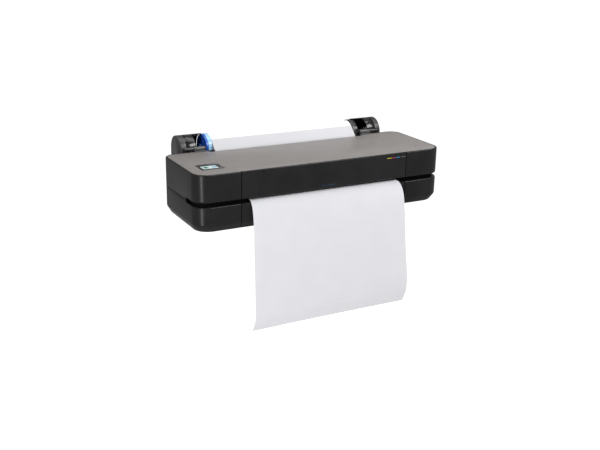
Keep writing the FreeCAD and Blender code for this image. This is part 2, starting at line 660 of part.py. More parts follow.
def roll_tray():
    r_in = ROLL_R + TRAY_GAP
    half = HOLDER_INNER_X - TRAY_END_GAP
    start = radians(TRAY_ANGLES[0])
    sweep = TRAY_ANGLES[1] - TRAY_ANGLES[0]
    y0 = ROLL_Y + r_in * cos(start)
    z0 = ROLL_Z + r_in * sin(start)
    y1 = ROLL_Y + (r_in + TRAY_WALL) * cos(start)
    z1 = ROLL_Z + (r_in + TRAY_WALL) * sin(start)
    strip = Part.Face(Part.makePolygon([V(-half, y0, z0), V(-half, y1, z1), V(half, y1, z1), V(half, y0, z0),
                                        V(-half, y0, z0)]))
    shell = strip.revolve(V(0, ROLL_Y, ROLL_Z), X_AXIS, sweep)
    back = box(-half, half, REAR, ROLL_Y, ROLL_Z - r_in, ROLL_Z)
    foot = box(-half, half, REAR, REAR + TRAY_WALL, ROLL_Z - r_in, z0).common(back)
    shelf = box(-half, half, REAR, ROLL_Y, ROLL_Z - r_in - TRAY_WALL, ROLL_Z - r_in)
    return fuse([shell, foot, shelf]).common(box(-half, half, REAR, ROLL_Y + HOLDER_R, 0, ROLL_Z))


# ---- Roll ----
def spindle():
    end = HOLDER_GROOVE_X[1] - SPINDLE_END_GAP
    shaft = rod_x(-end, end, ROLL_Y, ROLL_Z, SPINDLE_R)
    hub = ring_x(-PAPER_HALF, -PAPER_HALF + HUB_LENGTH, ROLL_Y, ROLL_Z, CORE_R - CORE_WALL, SPINDLE_R)
    return fuse([shaft, hub, mirror_x(hub)])


def flange():
    """Right flange: a thick disc, dished round its hub, with a grip collar, keyed on the spindle."""
    x0 = PAPER_HALF + FLANGE_GAP
    x1 = x0 + FLANGE_THICK
    disc = rod_x(x0, x1, ROLL_Y, ROLL_Z, FLANGE_R)
    dish = ring_x(x1 - FLANGE_DISH, x1 + 1, ROLL_Y, ROLL_Z, FLANGE_R - FLANGE_RIM, FLANGE_HUB_R)
    collar = rod_x(x1, x1 + COLLAR_LENGTH, ROLL_Y, ROLL_Z, COLLAR_R)
    bore = rod_x(x0 - 1, x1 + COLLAR_LENGTH + 1, ROLL_Y, ROLL_Z, SPINDLE_R)
    return fuse([disc.cut(dish), collar]).cut(bore)


# ---- Paper ----
def strip_between(left, right, thick):
    """Thin sheet between two edge lines of (y, z) points, at the left and the right."""
    wires = []
    for x, points in ((-PAPER_HALF, left), (PAPER_HALF, right)):
        wires.append(edge_loop(x, points, thick))
    return Part.makeLoft(wires, True, True)


def edge_loop(x, points, thick):
    outer = []
    count = len(points)
    for index, (y, z) in enumerate(points):
        y0, z0 = points[max(index - 1, 0)]
        y1, z1 = points[min(index + 1, count - 1)]
        run = hypot(y1 - y0, z1 - z0)
        outer.append((y - (z1 - z0) / run * thick, z + (y1 - y0) / run * thick))
    inner_curve = spline(x, points)
    outer_curve = spline(x, outer)
    first = Part.makeLine(V(x, *outer[0]), V(x, *points[0]))
    last = Part.makeLine(V(x, *points[-1]), V(x, *outer[-1]))
    return Part.Wire([first, inner_curve, last, outer_curve])


def spline(x, points):
    curve = Part.BSplineCurve()
    curve.interpolate([V(x, y, z) for y, z in points])
    return curve.toShape()


def from_slot(points):
    """Edge points in the machine's frame, from their places relative to the slot's mouth."""
    return [(FRONT + forward, WEB_Z + up) for forward, up in points]


def web_points():
    """Path of the paper from the top of the roll, through the printer, to the slot."""
    reach = ROLL_R + PAPER_THICK
    mouth_z = Z_TOP + 1
    dy = ROLL_Y - ENTRY_Y
    dz = ROLL_Z - mouth_z
    far = hypot(dy, dz)
    tilt = asin(reach / far) + asin(dz / far)
    run = (far ** 2 - reach ** 2) ** 0.5
    touch = (ENTRY_Y + run * cos(tilt), mouth_z + run * sin(tilt))
    straight = []
    for share in (0.0, 0.25, 0.5, 0.75):
        straight.append((touch[0] + share * (ENTRY_Y - touch[0]), touch[1] + share * (mouth_z - touch[1])))
    return straight, mouth_z


def paper_web():
    """Strip from the roll to the slot, in straight and rounded runs of one sheet."""
    straight, mouth_z = web_points()
    inside = [(ENTRY_Y + 1, mouth_z)]
    inside += [(ENTRY_Y + dy, mouth_z + dz) for dy, dz in WEB_DIP]
    inside.append((ENTRY_Y + WEB_BEND[0], WEB_Z + WEB_BEND[1]))
    inside += [(FEED_Y + dy, WEB_UNDER + dz) for dy, dz in WEB_LANDING]
    inside.append((FEED_Y, WEB_UNDER))
    points = (straight + inside)[::-1]
    bend = strip_between(points, points, PAPER_THICK)
    flat = box(-PAPER_HALF, PAPER_HALF, FRONT + SHEET_START, FEED_Y, WEB_UNDER, WEB_OVER)
    return fuse([bend, flat])


# ---- Frame, rails and rollers ----
def side_plate():
    """Right side plate, drilled for the rod and the roller shafts."""
    z0 = Z_CASE + SKIRT_HEIGHT
    y0 = FRONT + SIDE_PLATE_FROM_FRONT
    y1 = REAR - SIDE_PLATE_FROM_REAR
    wall = box(PLATE_X, PLATE_OUTER_X, y0, y1, z0, SIDE_PLATE_TOP)
    foot = box(PLATE_X - SIDE_FOOT, PLATE_OUTER_X, -SIDE_FOOT_Y, SIDE_FOOT_Y, Z_FLOOR, Z_FLOOR + STEEL)
    leg = box(PLATE_X, PLATE_OUTER_X, -SIDE_FOOT_Y, SIDE_FOOT_Y, Z_FLOOR, z0)
    plate = fuse([wall, foot, leg])
    holes = ((FEED_Y, FEED_Z, SHAFT_R + RUN), (EXIT_Y, EXIT_Z, SHAFT_R + RUN),
             (EXIT_Y, STAR_Z, PINCH_SHAFT_R + RUN), (MOTOR_Y, FEED_Z, 2 * PINCH_SHAFT_R),
             (ROD_Y, ROD_Z, ROD_R))
    for y, z, r in holes:
        plate = plate.cut(rod_x(PLATE_X - 1, PLATE_OUTER_X + 1, y, z, r))
    return plate


def carriage_beam():
    """Cross beam behind the carriage, with the boss that the idler turns in."""
    top = SIDE_PLATE_TOP
    back = BEAM_Y + STEEL
    web = box(-PLATE_X, PLATE_X, BEAM_Y, back, BEAM_Z, top)
    edge = box(-PLATE_X, PLATE_X, BEAM_Y - BEAM_FLANGE, BEAM_Y, top - STEEL, top)
    boss_length, boss_r = IDLER_BOSS
    boss = rod_y(back, back + boss_length, -PULLEY_X, PULLEY_Z, boss_r)
    motor_hole = rod_y(BEAM_Y - 1, back + 1, PULLEY_X, PULLEY_Z, 2 * PULLEY_SHAFT_R)
    idler_hole = rod_y(BEAM_Y - 1, back + boss_length + 1, -PULLEY_X, PULLEY_Z, PULLEY_SHAFT_R + RUN)
    return fuse([web, edge, boss]).cut(motor_hole).cut(idler_hole)


def front_beam():
    before, behind = FRONT_BEAM_REACH
    return box(-PLATE_X, PLATE_X, EXIT_Y - before, EXIT_Y + behind, FRONT_BEAM_Z, FRONT_BEAM_TOP)


def encoder_strip():
    y1 = BEAM_Y - ENCODER_GAP
    z1 = SIDE_PLATE_TOP - ENCODER_DROP
    return box(-PLATE_X, PLATE_X, y1 - ENCODER_THICK, y1, z1 - ENCODER_HEIGHT, z1)


def platen():
    """Ribbed table under the paper, on three legs."""
    half = PAPER_HALF + DRUM_BEYOND_PAPER
    y0 = EXIT_Y + EXIT_R + PLATEN_GAP
    y1 = FEED_Y - FEED_R - PLATEN_GAP
    parts = [box(-half, half, y0, y1, PLATEN_BASE, PLATEN_BASE_TOP)]
    rib_half = PAPER_HALF - PLATEN_RIB / 2
    for index in range(PLATEN_RIBS):
        x = -rib_half + 2 * rib_half * index / (PLATEN_RIBS - 1)
        parts.append(box(x - PLATEN_RIB / 2, x + PLATEN_RIB / 2, y0, y1, PLATEN_BASE_TOP - 1, PLATEN_TOP))
    leg_x, leg_y = PLATEN_LEG
    middle = (y0 + y1) / 2
    for x in (-PAPER_HALF + leg_x, 0, PAPER_HALF - leg_x):
        parts.append(box(x - leg_x / 2, x + leg_x / 2, middle - leg_y / 2, middle + leg_y / 2,
                         Z_FLOOR, PLATEN_BASE))
    return fuse(parts)


def feed_roller():
    half = PAPER_HALF + DRUM_BEYOND_PAPER
    drum = rod_x(-half, half, FEED_Y, FEED_Z, FEED_R)
    return fuse([drum, rod_x(-PLATE_OUTER_X, GEAR_X + GEAR_WIDTH, FEED_Y, FEED_Z, SHAFT_R)])


def gear(x, y, z, teeth, bore, phase):
    """Spur gear across X; phase turns its first tooth, in degrees."""
    pitch_r = GEAR_MODULE * teeth / 2
    step = 360.0 / teeth
    points = []
    for index in range(teeth):
        for share, height in TOOTH_SHAPE:
            angle = radians(phase + (index + share) * step)
            r = pitch_r + height * GEAR_MODULE
            points.append(V(x, y + r * cos(angle), z + r * sin(angle)))
    face = Part.Face(Part.makePolygon(points + points[:1]))
    return face.extrude(V(GEAR_WIDTH, 0, 0)).cut(rod_x(x - 1, x + GEAR_WIDTH + 1, y, z, bore))


def feed_pinion():
    body = gear(GEAR_X, MOTOR_Y, FEED_Z, PINION_TEETH, PINCH_SHAFT_R, 180 + 180 / PINION_TEETH)
    shaft = rod_x(PLATE_X - MOTOR_SHAFT_DEPTH, GEAR_X + GEAR_WIDTH, MOTOR_Y, FEED_Z, PINCH_SHAFT_R)
    return fuse([body, shaft])


def feed_motor():
    can = rod_x(PLATE_X - FEED_MOTOR_LENGTH, PLATE_X, MOTOR_Y, FEED_Z, FEED_MOTOR_R)
    bore = rod_x(PLATE_X - MOTOR_SHAFT_DEPTH - 1, PLATE_X + 1, MOTOR_Y, FEED_Z, PINCH_SHAFT_R + RUN)
    return can.cut(bore)


def wheel_row(count, y, z, r, shaft_r, width, half, shaft_half):
    """Equal wheels spread over a shaft across X."""
    parts = [rod_x(-shaft_half, shaft_half, y, z, shaft_r)]
    for index in range(count):
        x = -half + 2 * half * index / (count - 1)
        parts.append(rod_x(x - width / 2, x + width / 2, y, z, r))
    return fuse(parts)


def pinch_wheels():
    half = PAPER_HALF - PINCH_INSIDE_PAPER
    shaft_half = PAPER_HALF + PINCH_ARM_FROM_PAPER + PINCH_ARM_WIDTH
    return wheel_row(PINCH_COUNT, FEED_Y, PINCH_Z, PINCH_R, PINCH_SHAFT_R, PINCH_WIDTH, half, shaft_half)


def pinch_frame():
    """Bar behind the pinch wheels, with an arm round each end of their shaft."""
    x0 = PAPER_HALF + PINCH_ARM_FROM_PAPER
    x1 = x0 + PINCH_ARM_WIDTH
    z1 = PINCH_Z + PINCH_R + PINCH_BAR_HEIGHT
    low = PINCH_Z - PINCH_ARM_WIDTH
    back = BEAM_Y + STEEL
    bar = box(-x0, x0, FEED_Y + 2 * PINCH_R, FEED_Y + 4 * PINCH_R, PINCH_Z + PINCH_R, z1)
    arm = box(x0, x1, FEED_Y - PINCH_ARM_WIDTH, back, low, z1)
    post = box(x0, x1, BEAM_Y, back, z1, BEAM_Z)
    arm = fuse([arm, post]).cut(rod_x(x0 - 1, x1 + 1, FEED_Y, PINCH_Z, PINCH_SHAFT_R + RUN))
    return fuse([bar, arm, mirror_x(arm)])


def exit_row(z, r, shaft_r, width):
    """Rollers or star wheels across the exit, on a shaft between the side plates."""
    half = PAPER_HALF - STARS_INSIDE_PAPER
    return wheel_row(STAR_COUNT, EXIT_Y, z, r, shaft_r, width, half, PLATE_OUTER_X)


# ---- Carriage drive ----
def belt_slab(r, y0, y1):
    flat = box(-PULLEY_X, PULLEY_X, y0, y1, PULLEY_Z - r, PULLEY_Z + r)
    ends = [rod_y(y0, y1, side * PULLEY_X, PULLEY_Z, r) for side in (-1, 1)]
    return fuse([flat] + ends)


def drive_belt():
    r = PULLEY_R + NIP_GAP
    y0, y1 = BELT_Y
    return belt_slab(r + BELT_THICK, y0, y1).cut(belt_slab(r, y0 - 1, y1 + 1))


def pulley(side, shaft_end):
    """Belt pulley with a front cheek, on its shaft through the beam."""
    y0, y1 = BELT_Y
    x = side * PULLEY_X
    front = y0 - NIP_GAP
    wheel = rod_y(front, y1, x, PULLEY_Z, PULLEY_R)
    cheek = rod_y(front - PULLEY_CHEEK, front, x, PULLEY_Z, PULLEY_R + BELT_THICK)
    shaft = rod_y(front - PULLEY_CHEEK, shaft_end, x, PULLEY_Z, PULLEY_SHAFT_R)
    return fuse([wheel, cheek, shaft])


def carriage_motor():
    y0 = BEAM_Y + STEEL
    can = rod_y(y0, y0 + MOTOR_LENGTH, PULLEY_X, PULLEY_Z, MOTOR_R)
    bore = rod_y(y0 - 1, y0 + MOTOR_SHAFT_DEPTH + 1, PULLEY_X, PULLEY_Z, PULLEY_SHAFT_R + RUN)
    return can.cut(bore)


# ---- Carriage ----
def head_room(x, z0, z1):
    return box(x - HEAD_HALF, x + HEAD_HALF, HEAD_FRONT, HEAD_REAR, z0, z1)


def carriage():
    """Head carrier in front, joined over the pinch wheels to a saddle on the rod."""
    neck = CARRIAGE_BOTTOM + CARRIAGE_NECK_LIFT
    saddle_top = ROD_Z + SADDLE_TOP
    head_back = HEAD_REAR + CARRIAGE_REAR
    saddle_y = (ROD_Y - SADDLE_HALF, ROD_Y + SADDLE_HALF)
    head_front = HEAD_FRONT - CARRIAGE_FRONT
    front = box(CARRIAGE_LEFT, CARRIAGE_RIGHT, head_front, head_back, CARRIAGE_BOTTOM, CARRIAGE_TOP)
    bridge = box(CARRIAGE_LEFT, CARRIAGE_RIGHT, head_back, saddle_y[0], neck, saddle_top)
    saddle = box(CARRIAGE_LEFT, CARRIAGE_RIGHT, saddle_y[0], saddle_y[1], neck, saddle_top)
    tab_top = PULLEY_Z - PULLEY_R - BELT_THICK - 2 * NIP_GAP
    tab = box(CARRIAGE_X - BELT_TAB_HALF, CARRIAGE_X + BELT_TAB_HALF, saddle_y[1], BELT_Y[1],
              tab_top - BELT_TAB_HEIGHT, tab_top)
    body = fuse([front, bridge, saddle, tab])
    for x in HEAD_X:
        body = body.cut(head_room(x, CARRIAGE_BOTTOM - 1, CARRIAGE_TOP + 1))
    return body.cut(rod_x(CARRIAGE_LEFT - 1, CARRIAGE_RIGHT + 1, ROD_Y, ROD_Z, ROD_R + BUSH_WALL))


def carriage_bushes():
    bushes = []
    for start in (CARRIAGE_LEFT, CARRIAGE_RIGHT - SLIDE_BUSH_LENGTH):
        bushes.append(ring_x(start, start + SLIDE_BUSH_LENGTH, ROD_Y, ROD_Z, ROD_R + BUSH_WALL, ROD_R + RUN))
    return group(bushes)


def print_heads():
    """Two head blocks with their nozzle plates, in the carriage's wells."""
    heads = []
    for x in HEAD_X:
        body = head_room(x, CARRIAGE_BOTTOM, CARRIAGE_TOP - CARRIAGE_FRONT)
        nozzle = box(x - NOZZLE_HALF, x + NOZZLE_HALF, HEAD_FRONT + NOZZLE_MARGIN, HEAD_REAR - NOZZLE_MARGIN,
                     CARRIAGE_BOTTOM - NOZZLE_PROUD, CARRIAGE_BOTTOM)
        heads.append(fuse([body, nozzle]))
    return group(heads)


def service_station():
    """Parking block under the heads, with two caps for their nozzles."""
    top = WEB_Z - STATION_DROP
    cap_top = top + CAP_HEIGHT
    parts = [box(CARRIAGE_X - STATION_HALF, CARRIAGE_X + STATION_HALF, HEAD_FRONT - STATION_BEYOND_HEADS,
                 HEAD_REAR + STATION_BEYOND_HEADS, Z_FLOOR, top)]
    for x in HEAD_X:
        parts.append(box(x - CAP_HALF, x + CAP_HALF, HEAD_FRONT + CAP_MARGIN, HEAD_REAR - CAP_MARGIN,
                         top, cap_top))
    return fuse(parts)


# ---- Ink ----
def cartridge_box(index, grow):
    x0 = BAY_X + index * CARTRIDGE_PITCH
    y0 = BAY_Y + BAY_WALL + CARTRIDGE_GAP
    z0 = FRONT_BEAM_TOP + BAY_WALL
    return box(x0 - grow, x0 + CARTRIDGE_SIZE[0] + grow, y0 - grow, y0 + CARTRIDGE_SIZE[1] + grow,
               z0, z0 + CARTRIDGE_SIZE[2])


def cartridge_bay():
    """Open-topped rack on the front beam, with one cell for each tank."""
    margin = CARTRIDGE_GAP + BAY_WALL
    x0 = BAY_X - margin
    x1 = BAY_X + len(CARTRIDGE_NAMES) * CARTRIDGE_PITCH - CARTRIDGE_GAP
    y1 = BAY_Y + CARTRIDGE_SIZE[1] + 2 * margin
    block = box(x0, x1, BAY_Y, y1, FRONT_BEAM_TOP, FRONT_BEAM_TOP + BAY_HEIGHT)
    for index in range(len(CARTRIDGE_NAMES)):
        block = block.cut(cartridge_box(index, CARTRIDGE_GAP))
    return block


def cartridge(index):
    body = cartridge_box(index, 0)
    edge = body.BoundBox
    margin_x, margin_y = GRIP_MARGIN
    deep, tall = GRIP_SIZE
    grip = box(edge.XMin + margin_x, edge.XMax - margin_x, edge.YMin + margin_y, edge.YMin + margin_y + deep,
               edge.ZMax, edge.ZMax + tall)
    return fuse([body, grip])


# ---- Electronics ----
def main_board():
    """Circuit board on four posts behind the cross beam, with its largest chips."""
    x0, x1 = (x - PLATE_X for x in BOARD_FROM_PLATE)
    y0 = BEAM_Y + STEEL + BOARD_STANDOFF
    y1 = y0 + BOARD_THICK
    z1 = SIDE_PLATE_TOP - BOARD_DROP
    z0 = z1 - BOARD_HEIGHT
    wide, deep, tall = CHIP_SIZE
    parts = [box(x0, x1, y0, y1, z0, z1)]
    for index in range(CHIP_COUNT):
        x = x0 + POST_MARGIN + index * CHIP_PITCH
        parts.append(box(x, x + wide, y1, y1 + deep, z0 + tall / 2, z0 + 3 * tall / 2))
    for x in (x0 + POST_MARGIN, x1 - POST_MARGIN):
        for z in (z0 + POST_MARGIN, z1 - POST_MARGIN - POST_SIZE):
            parts.append(box(x - POST_SIZE / 2, x + POST_SIZE / 2, BEAM_Y + STEEL, y0, z, z + POST_SIZE))
    return group(parts)


def power_supply():
    x0, x1 = (x - PLATE_X for x in SUPPLY_FROM_PLATE)
    y1 = BEAM_Y - SUPPLY_BEFORE_BEAM
    return box(x0, x1, y1 - SUPPLY_LENGTH, y1, Z_FLOOR, Z_FLOOR + SUPPLY_HEIGHT)


# ---- Feet, stand rails and screws ----
def stand_rail():
    """Right steel rail under the case: a channel with two stand holes in its web."""
    xc = STAND_SPACING_X / 2
    half = RAIL_WIDTH / 2
    length = RAIL_LENGTH / 2
    rail = box(xc - half, xc + half, -length, length, 0, Z_CASE)
    rail = rail.cut(box(xc - half + STEEL, xc + half - STEEL, -length - 1, length + 1, STEEL, Z_CASE + 1))
    for side in (-1, 1):
        rail = rail.cut(rod_z(-1, STEEL + 1, xc, side * STAND_SPACING_Y / 2, STAND_HOLE_R))
    return rail


def foot_pads():
    """Rubber feet under the middle of the case."""
    feet = []
    for x in (-FOOT_X, FOOT_X):
        for y in (-FOOT_Y, FOOT_Y):
            stem = rod_z(PAD_DEPTH, Z_CASE, x, y, PAD_R - PAD_DEPTH)
            feet.append(fuse([stem, rod_z(0, PAD_DEPTH * 2, x, y, PAD_R)]))
    return group(feet)


def screw(x, z):
    head = rod_y(REAR, REAR + SCREW_HEAD, x, z, SCREW_R)
    return head.cut(rod_y(REAR + SCREW_HEAD / 2, REAR + SCREW_HEAD + 1, x, z, SCREW_SOCKET_R))


def case_screws():
    half = HALF - SCREW_FROM_SIDE
    screws = []
    for index in range(SCREW_COLUMNS):
        x = -half + 2 * half * index / (SCREW_COLUMNS - 1)
        for z in (Z_CASE + SCREW_LIFTS[0], Z_UPPER + SCREW_LIFTS[1]):
            screws.append(screw(x, z))
    return group(screws)


# ---- Build ----
case, lower_panel = lower_parts()
upper = upper_shell()
cover_right, cover_left, lid_front = upper_parts(upper)
bezel, screen, button = control_panel()
holder = roll_holder()
right_flange = flange()

save("lower_case", case)
save("lower_front_panel", lower_panel)
save("slot_liner", slot_liner())
save("upper_cover_left", cover_left)
save("upper_cover_right", cover_right)
save("rear_cover", rear_cover(upper))
save("rear_sockets", rear_sockets())
save("hinge_barrels", both_sides(hinge_barrel()))
save("hinge_knuckles", both_sides(hinge_knuckle()))
save("hinge_pins", both_sides(hinge_pin()))
save("top_plate", top_plate())
save("lid_frame", lid_frame())
save("upper_front_panel", lid_front)
save("display_bezel", bezel)
save("display_screen", screen)
save("power_button", button)
save("light_bar", light_bar())
save("ink_marks", ink_marks())
save("roll_holder_right", holder)
save("roll_holder_left", mirror_x(holder))
save("holder_end_caps", both_sides(holder_cap()))
save("spindle_bushes", both_sides(spindle_bush()))
save("roll_tray", roll_tray())
save("roll_spindle", spindle())
save("flange_black", right_flange)
save("flange_blue", mirror_x(right_flange))
save("roll_core", ring_x(-PAPER_HALF, PAPER_HALF, ROLL_Y, ROLL_Z, CORE_R, CORE_R - CORE_WALL))
save("paper_roll", ring_x(-PAPER_HALF, PAPER_HALF, ROLL_Y, ROLL_Z, ROLL_R, CORE_R))
save("paper_web", paper_web())
save("paper_sheet", strip_between(from_slot(SHEET_LEFT), from_slot(SHEET_RIGHT), SHEET_THICK))
save("side_plates", both_sides(side_plate()))
save("carriage_beam", carriage_beam())
save("front_beam", front_beam())
save("guide_rod", rod_x(-PLATE_OUTER_X, PLATE_OUTER_X, ROD_Y, ROD_Z, ROD_R))
save("platen", platen())
save("encoder_strip", encoder_strip())
save("drive_belt", drive_belt())
save("drive_pulley", pulley(1, BEAM_Y + STEEL + MOTOR_SHAFT_DEPTH))
save("idler_pulley", pulley(-1, BEAM_Y + STEEL + IDLER_BOSS[0]))
save("drive_motors", group([carriage_motor(), feed_motor()]))
save("carriage_body", carriage())
save("carriage_bushes", carriage_bushes())
save("print_heads", print_heads())
save("service_station", service_station())
save("feed_roller", feed_roller())
save("feed_gear", gear(GEAR_X, FEED_Y, FEED_Z, GEAR_TEETH, SHAFT_R, 0))
save("feed_pinion", feed_pinion())
save("pinch_wheels", pinch_wheels())
save("pinch_frame", pinch_frame())
save("exit_roller", exit_row(EXIT_Z, EXIT_R, SHAFT_R, EXIT_WIDTH))
save("star_wheels", exit_row(STAR_Z, STAR_R, PINCH_SHAFT_R, STAR_WIDTH))
save("electronics", group([main_board(), power_supply()]))
save("cartridge_bay", cartridge_bay())
for number, name in enumerate(CARTRIDGE_NAMES):
    save("ink_cartridge_" + name, cartridge(number))
save("stand_rails", both_sides(stand_rail()))
save("feet", foot_pads())
save("case_screws", case_screws())
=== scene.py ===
import json
import math

import bmesh
import bpy
from mathutils import Matrix, Vector


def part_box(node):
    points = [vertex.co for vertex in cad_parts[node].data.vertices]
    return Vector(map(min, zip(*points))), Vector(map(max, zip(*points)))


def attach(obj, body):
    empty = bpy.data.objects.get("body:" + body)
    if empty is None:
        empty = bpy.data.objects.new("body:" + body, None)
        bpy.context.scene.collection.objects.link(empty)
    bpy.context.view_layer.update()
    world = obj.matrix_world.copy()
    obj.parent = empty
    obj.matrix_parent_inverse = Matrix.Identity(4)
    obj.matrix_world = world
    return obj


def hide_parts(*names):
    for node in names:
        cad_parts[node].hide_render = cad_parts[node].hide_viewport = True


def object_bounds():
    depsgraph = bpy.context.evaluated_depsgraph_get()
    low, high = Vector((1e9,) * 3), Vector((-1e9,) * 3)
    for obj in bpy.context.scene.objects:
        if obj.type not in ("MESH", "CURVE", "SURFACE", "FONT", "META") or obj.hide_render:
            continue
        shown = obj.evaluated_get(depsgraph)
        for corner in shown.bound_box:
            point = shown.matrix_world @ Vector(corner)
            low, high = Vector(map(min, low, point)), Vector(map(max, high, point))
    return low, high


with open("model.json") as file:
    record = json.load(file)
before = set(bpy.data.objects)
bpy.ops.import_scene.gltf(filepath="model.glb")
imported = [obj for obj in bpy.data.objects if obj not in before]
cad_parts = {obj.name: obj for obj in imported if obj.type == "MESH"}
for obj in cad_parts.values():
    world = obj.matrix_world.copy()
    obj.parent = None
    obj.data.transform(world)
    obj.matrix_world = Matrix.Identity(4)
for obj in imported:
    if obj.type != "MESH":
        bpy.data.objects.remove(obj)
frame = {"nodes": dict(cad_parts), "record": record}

cad_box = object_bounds()
nodes = frame["nodes"]
MM = 0.001

# ---- Camera ----
# A long lens stands to the left of the machine's front and looks down on its lid.
# It has no shift and no depth of field, so every other view keeps the same plain optics.
bpy.context.scene.view_settings.view_transform = "Standard"
CAMERA_PLACE = Vector((-1.581, -2.898, 1.045))
CAMERA_YAW = math.radians(28.3)
CAMERA_PITCH = math.radians(18.57)
CAMERA_ROLL = math.radians(1.02)
camera_data = bpy.data.cameras.new("camera")
camera_data.sensor_width = 36.0
camera_data.lens = 54.4
camera = bpy.data.objects.new("camera", camera_data)
bpy.context.scene.collection.objects.link(camera)
level_turn = Matrix.Rotation(-CAMERA_YAW, 4, "Z") @ Matrix.Rotation(math.pi / 2 - CAMERA_PITCH, 4, "X")
camera.matrix_world = (Matrix.Translation(CAMERA_PLACE) @ level_turn
                       @ Matrix.Rotation(CAMERA_ROLL, 4, "Z"))
bpy.context.scene.camera = camera


# ---- Floor and studio light ----
# A plain pale floor well below the hanging sheet, as if the machine stood on an unseen stand. It
# is left out of reflections, so that the black covers stay dark at grazing angles.
# A large soft panel hangs above, a tall narrow one stands at the left corner and a third to the right
# of the front, so that glossy covers show long highlights and the slot's lips catch a thin line.
FLOOR_LEVEL = cad_box[0][2] - 0.55
FLOOR_GLOW = 0.88
WORLD_GLOW = 0.32


def soft_panel(name, place, target, size, watts):
    data = bpy.data.lights.new(name, "AREA")
    data.shape = "RECTANGLE"
    data.size, data.size_y = size
    data.energy = watts
    panel = bpy.data.objects.new(name, data)
    bpy.context.scene.collection.objects.link(panel)
    panel.location = place
    panel.rotation_euler = (Vector(target) - Vector(place)).to_track_quat("-Z", "Y").to_euler()


bpy.ops.mesh.primitive_plane_add(size=120, location=(0, 0, FLOOR_LEVEL))
floor = bpy.context.object
floor.name = "studio_floor"
floor_paint = bpy.data.materials.new("floor_paint")
floor_paint.use_nodes = True
floor_shader = floor_paint.node_tree.nodes["Principled BSDF"]
floor_shader.inputs["Base Color"].default_value = (0.4, 0.4, 0.4, 1)
floor_shader.inputs["Roughness"].default_value = 1.0
floor_shader.inputs["Emission Color"].default_value = (1, 1, 1, 1)
floor_shader.inputs["Emission Strength"].default_value = FLOOR_GLOW
floor.data.materials.append(floor_paint)
floor.visible_glossy = False
world = bpy.data.worlds.new("studio")
world.use_nodes = True
world.node_tree.nodes["Background"].inputs["Color"].default_value = (1, 1, 1, 1)
world.node_tree.nodes["Background"].inputs["Strength"].default_value = WORLD_GLOW
bpy.context.scene.world = world
soft_panel("panel_above", (0.2, 0.4, 2.7), (0, 0, 0.2), (3.0, 1.6), 36)
soft_panel("strip_left_corner", (-1.98, -1.4, 0.0), (-0.45, -0.12, 0.12), (0.22, 2.2), 24)
soft_panel("panel_right_front", (1.3, -1.65, 2.2), (0, 0.2, 0.25), (2.2, 1.0), 62)


# ---- Moulded black casing: its plastic ----
# Covers are injection-moulded ABS with a fine spark-eroded grain. Grain, slight gloss changes
# and faint handling marks come from noise in the machine's own coordinates.
def material_with_noise(name, colour, rough, grain_mm=0.9, bump=0.06, mottling=0.12, metal=0.0,
                        specular=0.5):
    """Principled material with a grain bump, cloudy roughness and slight colour mottling."""
    material = bpy.data.materials.new(name)
    material.use_nodes = True
    tree = material.node_tree
    shader = tree.nodes["Principled BSDF"]
    shader.inputs["Metallic"].default_value = metal
    shader.inputs["Specular IOR Level"].default_value = specular
    place = tree.nodes.new("ShaderNodeTexCoord").outputs["Object"]
    cloud = noise(tree, place, 14.0, 4)
    grain = noise(tree, place, 1.0 / (grain_mm * MM), 2)
    dark = tuple(c * (1 - mottling) for c in colour)
    light = tuple(min(1, c * (1 + mottling)) for c in colour)
    tint = ramp(tree, cloud, 0.35, (*dark, 1), 0.65, (*light, 1))
    tree.links.new(tint, shader.inputs["Base Color"])
    shine = ramp(tree, cloud, 0.3, grey(rough * 0.88), 0.7, grey(min(1, rough * 1.1)))
    tree.links.new(shine, shader.inputs["Roughness"])
    add_bump(tree, shader, grain, bump)
    return material


def grey(value):
    return (value, value, value, 1)


def noise(tree, place, scale, detail):
    node = tree.nodes.new("ShaderNodeTexNoise")
    node.inputs["Scale"].default_value = scale
    node.inputs["Detail"].default_value = detail
    tree.links.new(place, node.inputs["Vector"])
    return node.outputs["Fac"]


def ramp(tree, factor, low, low_colour, high, high_colour):
    node = tree.nodes.new("ShaderNodeValToRGB")
    node.color_ramp.elements[0].position = low
    node.color_ramp.elements[0].color = low_colour
    node.color_ramp.elements[1].position = high
    node.color_ramp.elements[1].color = high_colour
    tree.links.new(factor, node.inputs["Fac"])
    return node.outputs["Color"]


def add_bump(tree, shader, height, strength, distance=0.0004):
    node = tree.nodes.new("ShaderNodeBump")
    node.inputs["Strength"].default_value = strength
    node.inputs["Distance"].default_value = distance
    tree.links.new(height, node.inputs["Height"])
    tree.links.new(node.outputs["Normal"], shader.inputs["Normal"])


def dress(node_name, material):
    """Gives a carried-over CAD node its finish."""
    nodes[node_name].data.materials.clear()
    nodes[node_name].data.materials.append(material)


case_plastic = material_with_noise("case_plastic", (0.0115, 0.0115, 0.0119), 0.3, specular=0.24)

# ---- Lower casing ----
# The tub under the paper slot: 3 mm moulded walls, a slanted skirt round its foot, a rounded lip
# along the slot, and side walls that rise behind the slot to meet the upper covers at a thin seam.
WALL = 0.003
SEAM_X = 0.340
FRONT_CORNER = 0.056
REAR_CORNER = 0.042
SKIRT_HEIGHT = 0.025
SKIRT_INSET = 0.014
LIP = 0.004
SLOT_DEPTH = 0.018
WRAP_BACK = 0.100
SEAM_LEVEL = 0.122
SEAM_GAP = 0.0016
UPRIGHT_SEAM_HALF = 0.0013


